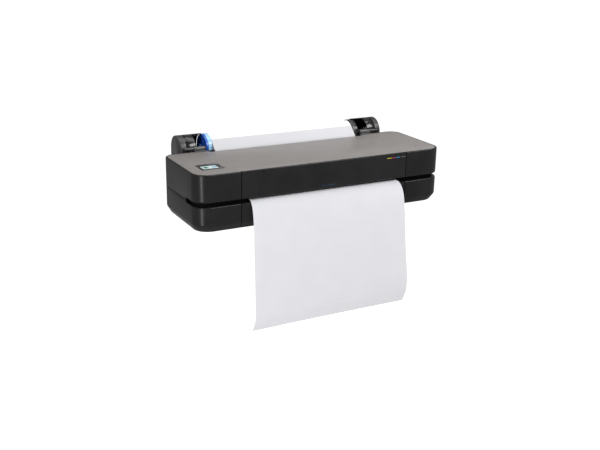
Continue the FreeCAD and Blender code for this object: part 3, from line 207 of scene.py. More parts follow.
def start_block(name, low, high):
    """A cube primitive between two corners, with its place in its mesh, left in edit mode."""
    bpy.ops.object.select_all(action="DESELECT")
    middle = [(a + b) / 2 for a, b in zip(low, high)]
    bpy.ops.mesh.primitive_cube_add(size=1, location=middle)
    block = bpy.context.object
    block.name = name
    block.data.name = name
    block.scale = [b - a for a, b in zip(low, high)]
    bpy.ops.object.transform_apply(location=True, rotation=False, scale=True)
    bpy.ops.object.mode_set(mode="EDIT")
    return block


def pick(kind, test):
    """Selects the faces, edges or vertices whose middle (and, for faces, normal) passes the test."""
    bpy.ops.mesh.select_all(action="DESELECT")
    modes = {"verts": "VERT", "edges": "EDGE", "faces": "FACE"}
    bpy.ops.mesh.select_mode(type=modes[kind])
    mesh = bmesh.from_edit_mesh(bpy.context.object.data)
    for item in getattr(mesh, kind):
        if kind == "verts":
            item.select_set(test(item.co, item.normal))
        elif kind == "edges":
            middle = (item.verts[0].co + item.verts[1].co) / 2
            item.select_set(test(middle, (item.verts[1].co - item.verts[0].co).normalized()))
        else:
            item.select_set(test(item.calc_center_median(), item.normal))
    mesh.select_flush_mode()
    bmesh.update_edit_mesh(bpy.context.object.data)


def round_plan(front_y, front_radius, rear_radius):
    """Rounds the four upright edges of the block, the front pair and the rear pair."""
    upright = lambda c, d: abs(d.z) > 0.99
    pick("edges", lambda c, d: upright(c, d) and c.y < 0 and abs(c.y - front_y) < 0.01)
    bpy.ops.mesh.bevel(offset=front_radius, offset_type="OFFSET", segments=18, affect="EDGES")
    pick("edges", lambda c, d: upright(c, d) and c.y > 0.05 and abs(c.x) > 0.4 and c.y > 0.1)
    bpy.ops.mesh.bevel(offset=rear_radius, offset_type="OFFSET", segments=14, affect="EDGES")


def flat_edges_at(level):
    pick("edges", lambda c, d: abs(c.z - level) < 1e-5 and abs(d.z) < 0.01)


def faces_at(level):
    pick("faces", lambda c, n: abs(c.z - level) < 1e-5 and abs(n.z) > 0.9)


def cut_keeping(plane_point, plane_normal, keep=None):
    """Bisects everything; keep is None, 'above' or 'below' the plane along its normal."""
    bpy.ops.mesh.select_all(action="SELECT")
    bpy.ops.mesh.bisect(plane_co=plane_point, plane_no=plane_normal, use_fill=False,
                        clear_inner=keep == "above", clear_outer=keep == "below")


def finish_shell(piece, thickness, edge=0.0006):
    """Gives an open skin its wall on the inside, softens its cut edges and shades it smooth."""
    bpy.ops.object.mode_set(mode="OBJECT")
    wall = piece.modifiers.new("wall", "SOLIDIFY")
    wall.thickness = thickness
    wall.offset = -1
    wall.use_even_offset = True
    soften = piece.modifiers.new("soften", "BEVEL")
    soften.width = edge
    soften.segments = 2
    soften.limit_method = "ANGLE"
    soften.angle_limit = math.radians(50)
    bpy.context.view_layer.objects.active = piece
    for modifier in ("wall", "soften"):
        bpy.ops.object.modifier_apply(modifier=modifier)
    bpy.ops.object.select_all(action="DESELECT")
    piece.select_set(True)
    bpy.ops.object.shade_smooth_by_angle(angle=math.radians(32))


def copy_of(piece, name):
    twin = piece.copy()
    twin.data = piece.data.copy()
    twin.name = name
    twin.data.name = name
    bpy.context.scene.collection.objects.link(twin)
    bpy.ops.object.select_all(action="DESELECT")
    bpy.context.view_layer.objects.active = twin
    twin.select_set(True)
    bpy.ops.object.mode_set(mode="EDIT")
    return twin


case_low, case_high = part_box("lower_case")
front_y = case_low[1]
rear_y = case_high[1]
half_width = case_high[0]
skirt_top = case_low[2] + SKIRT_HEIGHT
slot_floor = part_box("lower_front_panel")[1][2]
wrap_y = front_y + WRAP_BACK

tub = start_block("lower_skin", (case_low[0], front_y, skirt_top), (case_high[0], rear_y, slot_floor))
round_plan(front_y, FRONT_CORNER, REAR_CORNER)
flat_edges_at(slot_floor)
bpy.ops.mesh.bevel(offset=LIP, offset_type="OFFSET", segments=5, affect="EDGES")
faces_at(slot_floor)
bpy.ops.mesh.inset(thickness=SLOT_DEPTH - LIP, depth=0)
bpy.ops.mesh.delete(type="FACE")
faces_at(skirt_top)
bpy.ops.mesh.extrude_region_move(TRANSFORM_OT_translate={"value": (0, 0, -SKIRT_HEIGHT)})
bpy.ops.transform.resize(value=(1 - SKIRT_INSET / half_width, 1 - SKIRT_INSET / rear_y, 1),
                         center_override=(0, 0, 0))
flat_edges_at(skirt_top)
bpy.ops.mesh.bevel(offset=0.005, offset_type="OFFSET", segments=4, affect="EDGES")
flat_edges_at(case_low[2])
bpy.ops.mesh.bevel(offset=0.003, offset_type="OFFSET", segments=3, affect="EDGES")
cut_keeping((0, wrap_y, 0), (0, 1, 0))
pick("faces", lambda c, n: c.y > wrap_y and c.z > slot_floor - LIP + 1e-5)
bpy.ops.mesh.delete(type="FACE")
pick("edges", lambda c, d: c.y > wrap_y - 1e-5 and abs(c.z - (slot_floor - LIP)) < 1e-5 and abs(d.z) < 0.01
     and abs(c.y - wrap_y) > 1e-5)
seam_rise = SEAM_LEVEL - SEAM_GAP / 2 - (slot_floor - LIP)
bpy.ops.mesh.extrude_region_move(TRANSFORM_OT_translate={"value": (0, 0, seam_rise)})
bpy.ops.object.mode_set(mode="OBJECT")

lower_panel = copy_of(tub, "lower_panel_shell")
cut_keeping((-SEAM_X + UPRIGHT_SEAM_HALF, 0, 0), (1, 0, 0), "above")
cut_keeping((SEAM_X - UPRIGHT_SEAM_HALF, 0, 0), (1, 0, 0), "below")
cut_keeping((0, front_y + SLOT_DEPTH + 0.02, 0), (0, 1, 0), "below")
finish_shell(lower_panel, WALL)
lower_panel.data.materials.append(case_plastic)
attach(lower_panel, "chassis")
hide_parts("lower_front_panel")

lower_shell = copy_of(tub, "lower_case_shell")
bpy.ops.mesh.select_all(action="SELECT")
for side in (-1, 1):
    cut_keeping((side * (SEAM_X + UPRIGHT_SEAM_HALF), 0, 0), (1, 0, 0))
cut_keeping((0, front_y + SLOT_DEPTH + 0.02, 0), (0, 1, 0))
pick("faces", lambda c, n: abs(c.x) < SEAM_X + UPRIGHT_SEAM_HALF and c.y < front_y + SLOT_DEPTH + 0.02)
bpy.ops.mesh.delete(type="FACE")
finish_shell(lower_shell, WALL)
lower_shell.data.materials.append(case_plastic)
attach(lower_shell, "chassis")
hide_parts("lower_case")
bpy.data.objects.remove(tub)

# ---- Upper casing ----
# Two end covers and a lid front, all cut from one rounded ring. The ring's top edge is a small
# radius with a flat rim that frames the metal plate, and its foot is rounded towards the slot.
RIM_FLAT = 0.0025
RIM_STEP = 0.005
top_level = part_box("upper_cover_left")[1][2]
slot_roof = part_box("upper_front_panel")[0][2]

ring = start_block("upper_skin", (case_low[0], front_y, slot_roof), (case_high[0], rear_y, top_level))
round_plan(front_y, FRONT_CORNER, REAR_CORNER)
flat_edges_at(slot_roof)
bpy.ops.mesh.bevel(offset=0.005, offset_type="OFFSET", segments=5, affect="EDGES")
flat_edges_at(top_level)
bpy.ops.mesh.bevel(offset=LIP, offset_type="OFFSET", segments=4, affect="EDGES")
faces_at(slot_roof)
bpy.ops.mesh.inset(thickness=SLOT_DEPTH - 0.005, depth=0)
bpy.ops.mesh.delete(type="FACE")
faces_at(top_level)
bpy.ops.mesh.inset(thickness=RIM_FLAT, depth=0)
bpy.ops.mesh.extrude_region_move(TRANSFORM_OT_translate={"value": (0, 0, -RIM_STEP)})
bpy.ops.mesh.delete(type="FACE")
cut_keeping((0, wrap_y, 0), (0, 1, 0))
foot_top = slot_roof + 0.005
pick("faces", lambda c, n: c.y > wrap_y and c.z < foot_top - 1e-5)
bpy.ops.mesh.delete(type="FACE")
pick("edges", lambda c, d: c.y > wrap_y + 1e-5 and abs(c.z - foot_top) < 1e-5 and abs(d.z) < 0.01)
seam_drop = SEAM_LEVEL + SEAM_GAP / 2 - foot_top
bpy.ops.mesh.extrude_region_move(TRANSFORM_OT_translate={"value": (0, 0, seam_drop)})
bpy.ops.object.mode_set(mode="OBJECT")

for name, node, side in (("end_cover_right", "upper_cover_right", 1),
                         ("end_cover_left", "upper_cover_left", -1)):
    cover = copy_of(ring, name)
    cut_keeping((side * (SEAM_X + UPRIGHT_SEAM_HALF), 0, 0), (side, 0, 0), "above")
    finish_shell(cover, WALL)
    cover.data.materials.append(case_plastic)
    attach(cover, "chassis")
    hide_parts(node)

lid_front = copy_of(ring, "lid_front_shell")
cut_keeping((-SEAM_X + UPRIGHT_SEAM_HALF, 0, 0), (1, 0, 0), "above")
cut_keeping((SEAM_X - UPRIGHT_SEAM_HALF, 0, 0), (1, 0, 0), "below")
cut_keeping((0, 0, 0), (0, 1, 0), "below")
finish_shell(lid_front, WALL)
lid_front.data.materials.append(case_plastic)
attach(lid_front, "lid")
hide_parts("upper_front_panel")
bpy.data.objects.remove(ring)

# ---- Rear cover ----
# The middle of the rear wall with the deck that the paper runs down through, moulded in the
# same plastic as the end covers and clipped between them.
body_of = {node: body for body, names in frame["record"]["behaviour"]["bodies"].items() for node in names}


def softened(node_name, name, material, edge, segments=2):
    """Stands for a CAD node: its own shape with merged corners and every sharp edge softened."""
    piece = bpy.data.objects.new(name, nodes[node_name].data.copy())
    bpy.context.scene.collection.objects.link(piece)
    bpy.ops.object.select_all(action="DESELECT")
    bpy.context.view_layer.objects.active = piece
    piece.select_set(True)
    bpy.ops.object.mode_set(mode="EDIT")
    bpy.ops.mesh.select_all(action="SELECT")
    bpy.ops.mesh.remove_doubles(threshold=1e-5)
    bpy.ops.mesh.dissolve_limited(angle_limit=math.radians(0.5))
    bpy.ops.object.mode_set(mode="OBJECT")
    soften = piece.modifiers.new("soften", "BEVEL")
    soften.width = edge
    soften.segments = segments
    soften.limit_method = "ANGLE"
    soften.angle_limit = math.radians(40)
    bpy.ops.object.modifier_apply(modifier="soften")
    bpy.ops.object.shade_smooth_by_angle(angle=math.radians(34))
    finish_piece(piece, material, body_of[node_name])
    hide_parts(node_name)
    return piece


def finish_piece(piece, material, body):
    """Its one material and the body it rides on."""
    piece.data.materials.clear()
    piece.data.materials.append(material)
    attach(piece, body)


softened("rear_cover", "rear_cover_shell", case_plastic, 0.0006)

# ---- Slot liner ----
# A matt black strip at the back of the paper slot, moulded without gloss and painted darker than the
# casing as painted shade, so that the slot looks deep.
slot_black = material_with_noise("slot_black", (0.003, 0.003, 0.003), 0.9, bump=0.02, specular=0.1)
dress("slot_liner", slot_black)

# ---- Lid plate and its frame ----
# A thin plate in warm grey satin paint lies in the rim of the covers, on a ribbed black frame
# that it is bonded to. The paint has a very fine, even grain.
plate_paint = material_with_noise("plate_paint", (0.232, 0.217, 0.209), 0.44, grain_mm=0.5, bump=0.05,
                                  mottling=0.03, specular=0.4)
softened("top_plate", "lid_plate", plate_paint, 0.0004)
frame_plastic = material_with_noise("frame_plastic", (0.02, 0.02, 0.021), 0.55)
softened("lid_frame", "lid_rib_frame", frame_plastic, 0.0005)

# ---- Control panel ----
# A small colour display under a black bezel, flush in the plate, with the power key beside it.
# The lit picture shows a round gauge and a blue-green patch on white.
bezel_black = material_with_noise("bezel_black", (0.02, 0.02, 0.023), 0.3, bump=0.01)
softened("display_bezel", "display_frame", bezel_black, 0.0004)
softened("power_button", "power_key_cap", frame_plastic, 0.0006, segments=3)
screen_low, screen_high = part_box("display_screen")
PICTURE_LIFT = 0.00006


def lit_material(name, colour, glow):
    """Display ink: a fine grain over a glowing colour."""
    material = material_with_noise(name, colour, 0.25, grain_mm=0.4, bump=0.01, mottling=0.05)
    shader = material.node_tree.nodes["Principled BSDF"]
    shader.inputs["Emission Color"].default_value = (*colour, 1)
    shader.inputs["Emission Strength"].default_value = glow
    return material


def picture_patch(name, place, radius, hole, stretch, colour, lift=1):
    """A flat round patch or ring of the lit picture, stretched along X."""
    bpy.ops.object.select_all(action="DESELECT")
    centre = (place[0], place[1], screen_high[2] + lift * PICTURE_LIFT)
    bpy.ops.mesh.primitive_cylinder_add(vertices=40, radius=radius, depth=PICTURE_LIFT, location=centre)
    patch = bpy.context.object
    patch.name = name
    patch.data.name = name
    patch.scale = (stretch, 1, 1)
    bpy.ops.object.transform_apply(location=True, rotation=False, scale=True)
    bpy.ops.object.mode_set(mode="EDIT")
    if hole:
        pick("faces", lambda c, n: abs(n.z) > 0.9)
        bpy.ops.mesh.inset(thickness=radius - hole, depth=0)
        bpy.ops.mesh.bridge_edge_loops()
    pick("edges", lambda c, d: abs(d.z) < 0.1 and (c - Vector(centre)).length > 0.9 * radius)
    bpy.ops.mesh.bevel(offset=PICTURE_LIFT / 4, segments=1, affect="EDGES")
    bpy.ops.object.mode_set(mode="OBJECT")
    finish_piece(patch, lit_material(name + "_ink", colour, 0.15), "lid")


dress("display_screen", lit_material("screen_white", (0.62, 0.68, 0.7), 0.12))
screen_y = (screen_low[1] + screen_high[1]) / 2
GAUGE_R = min(0.0125, (screen_high[1] - screen_low[1]) / 2 - 0.001)
GAUGE_MARGIN = 0.002
PATCH_R = 0.0085
PATCH_FROM_EDGE = 0.0115
gauge_place = (screen_low[0] + GAUGE_R + GAUGE_MARGIN, screen_y)
patch_place = (screen_high[0] - PATCH_FROM_EDGE, screen_y + 0.001)
picture_patch("screen_gauge_ring", gauge_place, GAUGE_R, 0.7 * GAUGE_R, 1.0, (0.12, 0.5, 0.22))
picture_patch("screen_gauge_dot", gauge_place, 0.6 * GAUGE_R, 0, 1.0, (0.02, 0.05, 0.05))
picture_patch("screen_patch", patch_place, PATCH_R, 0, 1.2, (0.15, 0.42, 0.5))

# ---- Light bar and colour marks ----
# A narrow blue light guide sits in the lid's lower front, and four printed dashes, yellow,
# magenta, cyan and grey, run towards the right seam.
light_blue = lit_material("light_blue", (0.02, 0.06, 0.12), 0.02)
dress("light_bar", light_blue)
marks_low, marks_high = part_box("ink_marks")
MARK_INKS = ((0.0, (0.45, 0.36, 0.012)), (0.27, (0.36, 0.006, 0.12)), (0.46, (0.012, 0.19, 0.36)),
             (0.74, (0.1, 0.1, 0.12)))
mark_ink = material_with_noise("mark_ink", (0.5, 0.5, 0.5), 0.5, bump=0.02)
ink_tree = mark_ink.node_tree
along = ink_tree.nodes.new("ShaderNodeMapping")
along.inputs["Location"].default_value = (-marks_low[0], 0, 0)
ink_tree.links.new(ink_tree.nodes["Texture Coordinate"].outputs["Object"], along.inputs["Vector"])
along_x = ink_tree.nodes.new("ShaderNodeSeparateXYZ")
ink_tree.links.new(along.outputs["Vector"], along_x.inputs["Vector"])
share = ink_tree.nodes.new("ShaderNodeMath")
share.operation = "DIVIDE"
share.inputs[1].default_value = marks_high[0] - marks_low[0]
ink_tree.links.new(along_x.outputs["X"], share.inputs[0])
bands = ink_tree.nodes.new("ShaderNodeValToRGB")
bands.color_ramp.interpolation = "CONSTANT"
bands.color_ramp.elements[0].color = (*MARK_INKS[0][1], 1)
bands.color_ramp.elements[1].position = MARK_INKS[1][0]
bands.color_ramp.elements[1].color = (*MARK_INKS[1][1], 1)
for start, colour in MARK_INKS[2:]:
    bands.color_ramp.elements.new(start).color = (*colour, 1)
ink_tree.links.new(share.outputs["Value"], bands.inputs["Fac"])
ink_tree.links.new(bands.outputs["Color"], ink_tree.nodes["Principled BSDF"].inputs["Base Color"])
dress("ink_marks", mark_ink)

# ---- Lid hinges ----
# Each hinge is a round barrel in front of a roll holder: the outer half is fixed to the machine,
# the inner, lighter half is the lid's knuckle, and a ground steel pin runs through both.
barrel_grey = material_with_noise("barrel_grey", (0.014, 0.014, 0.015), 0.24)
knuckle_grey = material_with_noise("knuckle_grey", (0.085, 0.085, 0.088), 0.3)
softened("hinge_barrels", "hinge_barrel_pair", barrel_grey, 0.0012, segments=4)
softened("hinge_knuckles", "hinge_knuckle_pair", knuckle_grey, 0.0009, segments=3)


def turned_steel(name, colour, rough, stretch):
    """Ground or drawn steel: fine lines stretched along one axis over slow cloudiness."""
    material = material_with_noise(name, colour, rough, bump=0.02, mottling=0.05, metal=1.0)
    tree = material.node_tree
    drawn = tree.nodes.new("ShaderNodeMapping")
    drawn.inputs["Scale"].default_value = stretch
    tree.links.new(tree.nodes["Texture Coordinate"].outputs["Object"], drawn.inputs["Vector"])
    add_bump(tree, tree.nodes["Principled BSDF"], noise(tree, drawn.outputs["Vector"], 900.0, 2), 0.12)
    return material


ground_steel = turned_steel("ground_steel", (0.5, 0.5, 0.52), 0.25, (0.02, 1, 1))
dress("hinge_pins", ground_steel)

# ---- Roll holders ----
# Glossy black arched housings on the rear wall, one at each end of the roll. The end cap is a
# separate satin moulding, set off by a deep groove, with a raised border round its outer face.
gloss_black = material_with_noise("gloss_black", (0.009, 0.009, 0.009), 0.12, bump=0.004)
satin_black = material_with_noise("satin_black", (0.03, 0.03, 0.031), 0.36)
for side in ("left", "right"):
    softened("roll_holder_" + side, "holder_housing_" + side, gloss_black, 0.0014, segments=3)
caps = softened("holder_end_caps", "holder_cap_pair", satin_black, 0.0022, segments=4)
BORDER = 0.005
bpy.ops.object.select_all(action="DESELECT")
bpy.context.view_layer.objects.active = caps
caps.select_set(True)
bpy.ops.object.mode_set(mode="EDIT")
cap_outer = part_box("holder_end_caps")[1][0]
pick("faces", lambda c, n: abs(abs(c.x) - cap_outer) < 1e-5 and abs(n.x) > 0.99)
bpy.ops.mesh.inset(thickness=BORDER, depth=0)
bpy.ops.mesh.inset(thickness=0.0008, depth=-0.0008)
bpy.ops.mesh.inset(thickness=0.0012, depth=0)
bpy.ops.mesh.inset(thickness=0.0008, depth=0.0008)
bpy.ops.object.mode_set(mode="OBJECT")

# ---- Spindle and bushes ----
# The roll's spindle is a moulded black bar with a hub at each end of the roll. It turns in
# split bushes of white acetal in the holders.
acetal = material_with_noise("acetal", (0.72, 0.72, 0.69), 0.35, bump=0.02, mottling=0.04)
softened("spindle_bushes", "spindle_bush_pair", acetal, 0.0008)
dress("roll_spindle", frame_plastic)

# ---- Roll flanges ----
# The left flange is translucent blue with a pale clear ring next to the paper, the right one is
# black. Both are dished discs with stiffening ribs and a grip collar, keyed on the spindle.
roll_low, roll_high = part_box("paper_roll")
roll_y = (roll_low[1] + roll_high[1]) / 2
roll_z = (roll_low[2] + roll_high[2]) / 2
flange_low, flange_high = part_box("flange_black")
FLANGE_R = (flange_high[2] - flange_low[2]) / 2
RING_WIDTH = 0.015
DISC_WIDTH = 0.0084
RIBS = 9
COLLAR_R = 0.016
HUB_R = 0.028


def round_blank(name, x0, x1, radius):
    """A turned blank across X between two faces, left in edit mode."""
    bpy.ops.object.select_all(action="DESELECT")
    bpy.ops.mesh.primitive_cylinder_add(vertices=72, radius=radius, depth=abs(x1 - x0),
                                        location=((x0 + x1) / 2, roll_y, roll_z),
                                        rotation=(0, math.pi / 2, 0))
    blank = bpy.context.object
    blank.name = name
    blank.data.name = name
    bpy.ops.object.transform_apply(location=True, rotation=True, scale=True)
    bpy.ops.object.mode_set(mode="EDIT")
    return blank


def end_face(x, side):
    pick("faces", lambda c, n: abs(c.x - x) < 1e-5 and n.x * side > 0.9)


def push_out(distance):
    bpy.ops.mesh.extrude_region_move(TRANSFORM_OT_translate={"value": (distance, 0, 0)})


def soften_and_shade(piece, edge):
    bpy.ops.object.mode_set(mode="OBJECT")
    soften = piece.modifiers.new("soften", "BEVEL")
    soften.width = edge
    soften.segments = 3
    soften.limit_method = "ANGLE"
    soften.angle_limit = math.radians(40)
    bpy.context.view_layer.objects.active = piece
    bpy.ops.object.modifier_apply(modifier="soften")
    bpy.ops.object.shade_smooth_by_angle(angle=math.radians(34))


def make_flange(name, side, ring_material, disc_material, node):
    """Ring, dished disc with its collar, and ribs, outwards from the paper."""
    x0 = side * flange_low[0]
    x1 = x0 + side * RING_WIDTH
    ring = round_blank(name + "_ring", x0, x1, FLANGE_R)
    for face_x, face_side in ((x0, -side), (x1, side)):
        end_face(face_x, face_side)
        bpy.ops.mesh.inset(thickness=0.009, depth=0)
    bpy.ops.mesh.select_all(action="DESELECT")
    pick("faces", lambda c, n: abs(n.x) > 0.9 and (c.yz - Vector((roll_y, roll_z))).length < 0.001)
    bpy.ops.mesh.bridge_edge_loops()
    soften_and_shade(ring, 0.0012)
    finish_piece(ring, ring_material, "roll")
    disc = round_blank(name + "_disc", x1 - side * 0.001, x1 + side * DISC_WIDTH, FLANGE_R - 0.0015)
    end_face(x1 + side * DISC_WIDTH, side)
    bpy.ops.mesh.inset(thickness=0.004, depth=0)
    push_out(-side * 0.0035)
    bpy.ops.mesh.inset(thickness=FLANGE_R - 0.0055 - HUB_R, depth=0)
    push_out(side * 0.0045)
    bpy.ops.mesh.inset(thickness=HUB_R - COLLAR_R, depth=0)
    push_out(side * (flange_high[0] - flange_low[0] - RING_WIDTH - DISC_WIDTH - 0.001))
    soften_and_shade(disc, 0.0009)
    finish_piece(disc, disc_material, "roll")
    rib_x = sorted((x1 + side * 0.0015, x1 + side * (DISC_WIDTH - 0.0006)))
    ribs = start_block(name + "_ribs", (rib_x[0], roll_y - 0.0012, roll_z + HUB_R - 0.002),
                       (rib_x[1], roll_y + 0.0012, roll_z + FLANGE_R - 0.0045))
    bpy.ops.mesh.select_all(action="SELECT")
    bpy.ops.mesh.bevel(offset=0.0005, segments=1, affect="EDGES")
    bpy.ops.mesh.select_all(action="SELECT")
    bpy.ops.mesh.spin(dupli=True, steps=RIBS - 1, angle=math.tau * (RIBS - 1) / RIBS,
                      center=(0, roll_y, roll_z), axis=(1, 0, 0))
    bpy.ops.object.mode_set(mode="OBJECT")
    finish_piece(ribs, disc_material, "roll")
    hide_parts(node)


flange_blue = material_with_noise("flange_blue", (0.012, 0.085, 0.42), 0.22, bump=0.02, mottling=0.35)
pale_blue = material_with_noise("pale_blue", (0.36, 0.62, 0.95), 0.2, bump=0.01, mottling=0.08)
for tinted, weight in ((flange_blue, 0.15), (pale_blue, 0.3)):
    tinted_shader = tinted.node_tree.nodes["Principled BSDF"]
    tinted_shader.inputs["Subsurface Weight"].default_value = weight
    tinted_shader.inputs["Subsurface Radius"].default_value = (0.002, 0.004, 0.008)
make_flange("left_flange", -1, pale_blue, flange_blue, "flange_blue")
make_flange("right_flange", 1, satin_black, gloss_black, "flange_black")

# ---- Roll, core and tray ----
# White uncoated paper wound on a brown card tube. The wound edge shows its layers as fine rings.
# A curved black tray under the roll is screwed to the rear wall.
def paper_finish(name, colour):
    material = material_with_noise(name, colour, 0.75, grain_mm=0.35, bump=0.03, mottling=0.012,
                                   specular=0.3)
    material.node_tree.nodes["Principled BSDF"].inputs["Sheen Weight"].default_value = 0.05
    return material


wound_paper = paper_finish("wound_paper", (0.93, 0.93, 0.935))
wound_tree = wound_paper.node_tree
centred = wound_tree.nodes.new("ShaderNodeMapping")
centred.inputs["Location"].default_value = (0, -roll_y, -roll_z)
wound_tree.links.new(wound_tree.nodes["Texture Coordinate"].outputs["Object"], centred.inputs["Vector"])
layers = wound_tree.nodes.new("ShaderNodeTexWave")
layers.wave_type = "RINGS"
layers.rings_direction = "X"
layers.inputs["Scale"].default_value = 420.0
wound_tree.links.new(centred.outputs["Vector"], layers.inputs["Vector"])
add_bump(wound_tree, wound_tree.nodes["Principled BSDF"], layers.outputs["Fac"], 0.2)
dress("paper_roll", wound_paper)
card = material_with_noise("card", (0.36, 0.24, 0.13), 0.85, grain_mm=2.0, bump=0.1, mottling=0.2)
dress("roll_core", card)
softened("roll_tray", "roll_tray_shell", case_plastic, 0.0007)

# ---- Paper sheet ----
# One sheet leaves the roll, dips through the entry slot, runs over the feed roller and hangs from
# the front slot. Its left edge drops closer to the machine than its right one, as curled paper does.
SHEET_SKIN = 0.0004
FLAT_LEVEL = 120.0
SLOT_MOUTH = (front_y / MM, FLAT_LEVEL)
WEB_PATH = ((185.0, 261.5), (167.5, 244.8), (151.0, 228.3), (147.0, 216.3), (138.0, 190.3), (122.0, 160.3),
            (103.0, 137.3), (80.0, 125.0), (59.0, 120.6), (35.0, 120.0), (-40.0, 120.0), (-110.0, 120.0))
LEFT_DROP = ((22.0, -0.2), (9.0, -1.0), (-3.0, -7.2), (-13.0, -24.0), (-20.0, -50.0), (-24.0, -80.0),
             (-27.0, -110.0), (-31.0, -198.0), (-37.0, -323.0), (-41.0, -400.0),
             (-38.0, -445.0), (-15.0, -491.6))
RIGHT_DROP = ((22.0, -0.2), (8.0, 0.6), (-11.0, -2.5), (-31.0, -17.0), (-46.0, -44.0), (-54.0, -78.0),
              (-61.0, -120.0), (-75.0, -219.0), (-92.0, -315.0), (-99.0, -360.0),
              (-96.0, -410.0), (-75.0, -460.0))
SPAN_STEPS = 6
SHEET_COLUMNS = 28
BOW = 0.003


def through(points):
    """A smooth line through (y, z) points in millimetres, a few steps to each span."""
    ends = [points[0]] + list(points) + [points[-1]]
    line = []
    for before, start, stop, after in zip(ends, ends[1:], ends[2:], ends[3:]):
        for step in range(SPAN_STEPS):
            t = step / SPAN_STEPS
            line.append([0.5 * (2 * b + (c - a) * t + (2 * a - 5 * b + 4 * c - d) * t ** 2
                                + (3 * b - a - 3 * c + d) * t ** 3)
                         for a, b, c, d in zip(before, start, stop, after)])
    return [Vector((0, y, z)) * MM for y, z in line + [list(points[-1])]]


def whole_edge(drop):
    return through(list(WEB_PATH) + [(SLOT_MOUTH[0] + y, SLOT_MOUTH[1] + z) for y, z in drop])


left_edge = whole_edge(LEFT_DROP)
right_edge = whole_edge(RIGHT_DROP)
paper_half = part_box("paper_sheet")[1][0]
sheet_mesh = bpy.data.meshes.new("hanging_paper")
sheet_grid = bmesh.new()
rows = []
hang_from = len(WEB_PATH) * SPAN_STEPS
for index, (left, right) in enumerate(zip(left_edge, right_edge)):
    slack = max(0.0, (index - hang_from) / (len(left_edge) - hang_from))
    row = []
    for column in range(SHEET_COLUMNS + 1):
        u = column / SHEET_COLUMNS
        point = left.lerp(right, u)
        point.x = (2 * u - 1) * paper_half
        point.y += BOW * slack * math.sin(math.pi * u)
        row.append(sheet_grid.verts.new(point))
    rows.append(row)
for upper, lower in zip(rows, rows[1:]):
    for column in range(SHEET_COLUMNS):
        sheet_grid.faces.new((upper[column], lower[column], lower[column + 1], upper[column + 1]))
flat_length = sum((b - a).length for a, b in zip(left_edge, left_edge[1:]))
flat_length = (flat_length + sum((b - a).length for a, b in zip(right_edge, right_edge[1:]))) / 2
sheet_grid.to_mesh(sheet_mesh)
sheet_grid.free()
sheet = bpy.data.objects.new("hanging_paper", sheet_mesh)
bpy.context.scene.collection.objects.link(sheet)
bpy.ops.object.select_all(action="DESELECT")
bpy.context.view_layer.objects.active = sheet
sheet.select_set(True)
skin = sheet.modifiers.new("skin", "SOLIDIFY")
skin.thickness = SHEET_SKIN
skin.offset = 0
bpy.ops.object.modifier_apply(modifier="skin")
bpy.ops.object.shade_smooth_by_angle(angle=math.radians(50))
# Painted shade: the sheet is the same paper as the roll, painted darker and slightly bluer than the roll
# to stand in for the shade on the hanging sheet.
shaded_sheet_paper = paper_finish("shaded_sheet_paper", (0.61, 0.61, 0.635))
finish_piece(sheet, shaded_sheet_paper, "chassis")
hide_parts("paper_web", "paper_sheet")

# ---- Steel frame ----
# Zinc-plated side plates and cross beams carry everything that moves; a ground rod between the
# plates guides the carriage, and two channels under the case take the stand's screws.
zinc = turned_steel("zinc", (0.42, 0.43, 0.45), 0.38, (0.08, 1, 1))
for node_name in ("side_plates", "carriage_beam", "front_beam", "stand_rails"):
    softened(node_name, node_name + "_zinc", zinc, 0.0004)
dress("guide_rod", ground_steel)

# ---- Paper path ----
# A ribbed black table under the sheet, a rubber feed roller with spring-loaded pinch wheels in a
# moulded frame, and an exit roller with toothed star wheels that hold the wet print down.
engineering_black = material_with_noise("engineering_black", (0.035, 0.035, 0.038), 0.5)
softened("platen", "platen_table", engineering_black, 0.0005)
softened("pinch_frame", "pinch_wheel_frame", engineering_black, 0.0004)
roller_rubber = material_with_noise("roller_rubber", (0.028, 0.028, 0.03), 0.8, grain_mm=0.6, bump=0.2)
for node_name in ("feed_roller", "pinch_wheels", "exit_roller"):
    softened(node_name, node_name + "_rubber", roller_rubber, 0.0004)
softened("star_wheels", "star_wheel_row", ground_steel, 0.0002, segments=1)

# ---- Gears and motors ----
# White acetal gears at the right end turn the feed roller. The motors are plated cans on the
# side plate and behind the cross beam.
for node_name in ("feed_gear", "feed_pinion", "drive_pulley", "idler_pulley"):
    softened(node_name, node_name + "_acetal", acetal, 0.0002, segments=1)
motor_can = turned_steel("motor_can", (0.3, 0.3, 0.31), 0.3, (1, 1, 0.05))
softened("drive_motors", "motor_cans", motor_can, 0.0015, segments=3)

# ---- Carriage, belt and parking station ----
# The head carriage slides on bushes along the rod, pulled by a toothed rubber belt, and reads a
# clear film with fine lines. It parks over caps that keep its nozzles wet.
carriage_black = material_with_noise("carriage_black", (0.024, 0.024, 0.026), 0.38)
softened("carriage_body", "head_carriage", carriage_black, 0.0018, segments=3)
softened("carriage_bushes", "slide_bushes", acetal, 0.0004)
head_grey = material_with_noise("head_grey", (0.14, 0.15, 0.17), 0.4)
softened("print_heads", "head_blocks", head_grey, 0.0008)
softened("service_station", "parking_station", engineering_black, 0.0012, segments=3)


def banded(name, colour, rough, bands_per_metre, strength, dark=None):
    """Teeth or printed lines across X, as a wave over the plain finish."""
    material = material_with_noise(name, colour, rough, bump=0.02)
    tree = material.node_tree
    wave = tree.nodes.new("ShaderNodeTexWave")
    wave.bands_direction = "X"
    wave.inputs["Scale"].default_value = bands_per_metre / math.pi
    tree.links.new(tree.nodes["Texture Coordinate"].outputs["Object"], wave.inputs["Vector"])
    add_bump(tree, tree.nodes["Principled BSDF"], wave.outputs["Fac"], strength, distance=0.0008)
    if dark:
        lines = ramp(tree, wave.outputs["Fac"], 0.45, (*dark, 1), 0.55, (*colour, 1))
        tree.links.new(lines, tree.nodes["Principled BSDF"].inputs["Base Color"])
    return material


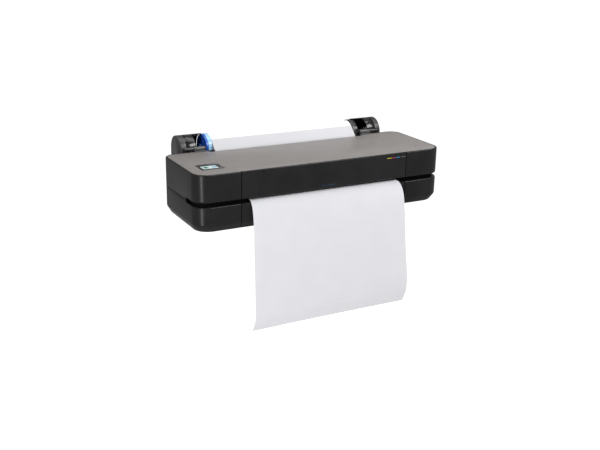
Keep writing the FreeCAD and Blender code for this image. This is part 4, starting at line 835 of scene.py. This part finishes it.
dress("drive_belt", banded("belt_rubber", (0.02, 0.02, 0.02), 0.7, 400, 0.8))
dress("encoder_strip", banded("line_film", (0.7, 0.72, 0.74), 0.15, 500, 0.0, dark=(0.1, 0.1, 0.1)))

# ---- Ink tanks ----
# Four tanks stand in an open rack under the right end of the lid. Each has a glossy body in its
# ink's colour with a moulded grip, and lifts straight out.
softened("cartridge_bay", "tank_rack", engineering_black, 0.0005)
TANK_INKS = {"yellow": (0.75, 0.55, 0.03), "magenta": (0.5, 0.02, 0.2), "cyan": (0.02, 0.32, 0.55),
             "black": (0.015, 0.015, 0.017)}
for ink, colour in TANK_INKS.items():
    tank = material_with_noise("tank_" + ink, colour, 0.22, bump=0.015, mottling=0.1)
    softened("ink_cartridge_" + ink, "ink_tank_" + ink, tank, 0.0012, segments=3)

# ---- Electronics and sockets ----
# A green circuit board with its chips behind the cross beam, the power supply in the tub, and two
# black sockets in the rear wall for data and mains.
board_green = material_with_noise("board_green", (0.02, 0.14, 0.06), 0.35, bump=0.03, mottling=0.15)
board_tree = board_green.node_tree
tracks = board_tree.nodes.new("ShaderNodeTexVoronoi")
tracks.distance = "MANHATTAN"
tracks.inputs["Scale"].default_value = 160.0
board_tree.links.new(board_tree.nodes["Texture Coordinate"].outputs["Object"], tracks.inputs["Vector"])
track_tint = ramp(board_tree, tracks.outputs["Distance"], 0.1, (0.35, 0.3, 0.12, 1),
                  0.16, (0.02, 0.14, 0.06, 1))
board_tree.links.new(track_tint, board_tree.nodes["Principled BSDF"].inputs["Base Color"])
softened("electronics", "board_and_supply", board_green, 0.0004)
softened("rear_sockets", "socket_blocks", engineering_black, 0.0005)

# ---- Feet and screws ----
# Soft rubber pads under the middle of the case, and black steel screws that hold the rear.
foot_rubber = material_with_noise("foot_rubber", (0.025, 0.025, 0.025), 0.85, grain_mm=1.5, bump=0.25)
softened("feet", "foot_pads", foot_rubber, 0.001, segments=3)
screw_steel = turned_steel("screw_steel", (0.08, 0.08, 0.085), 0.4, (1, 1, 1))
softened("case_screws", "case_screw_heads", screw_steel, 0.0003)
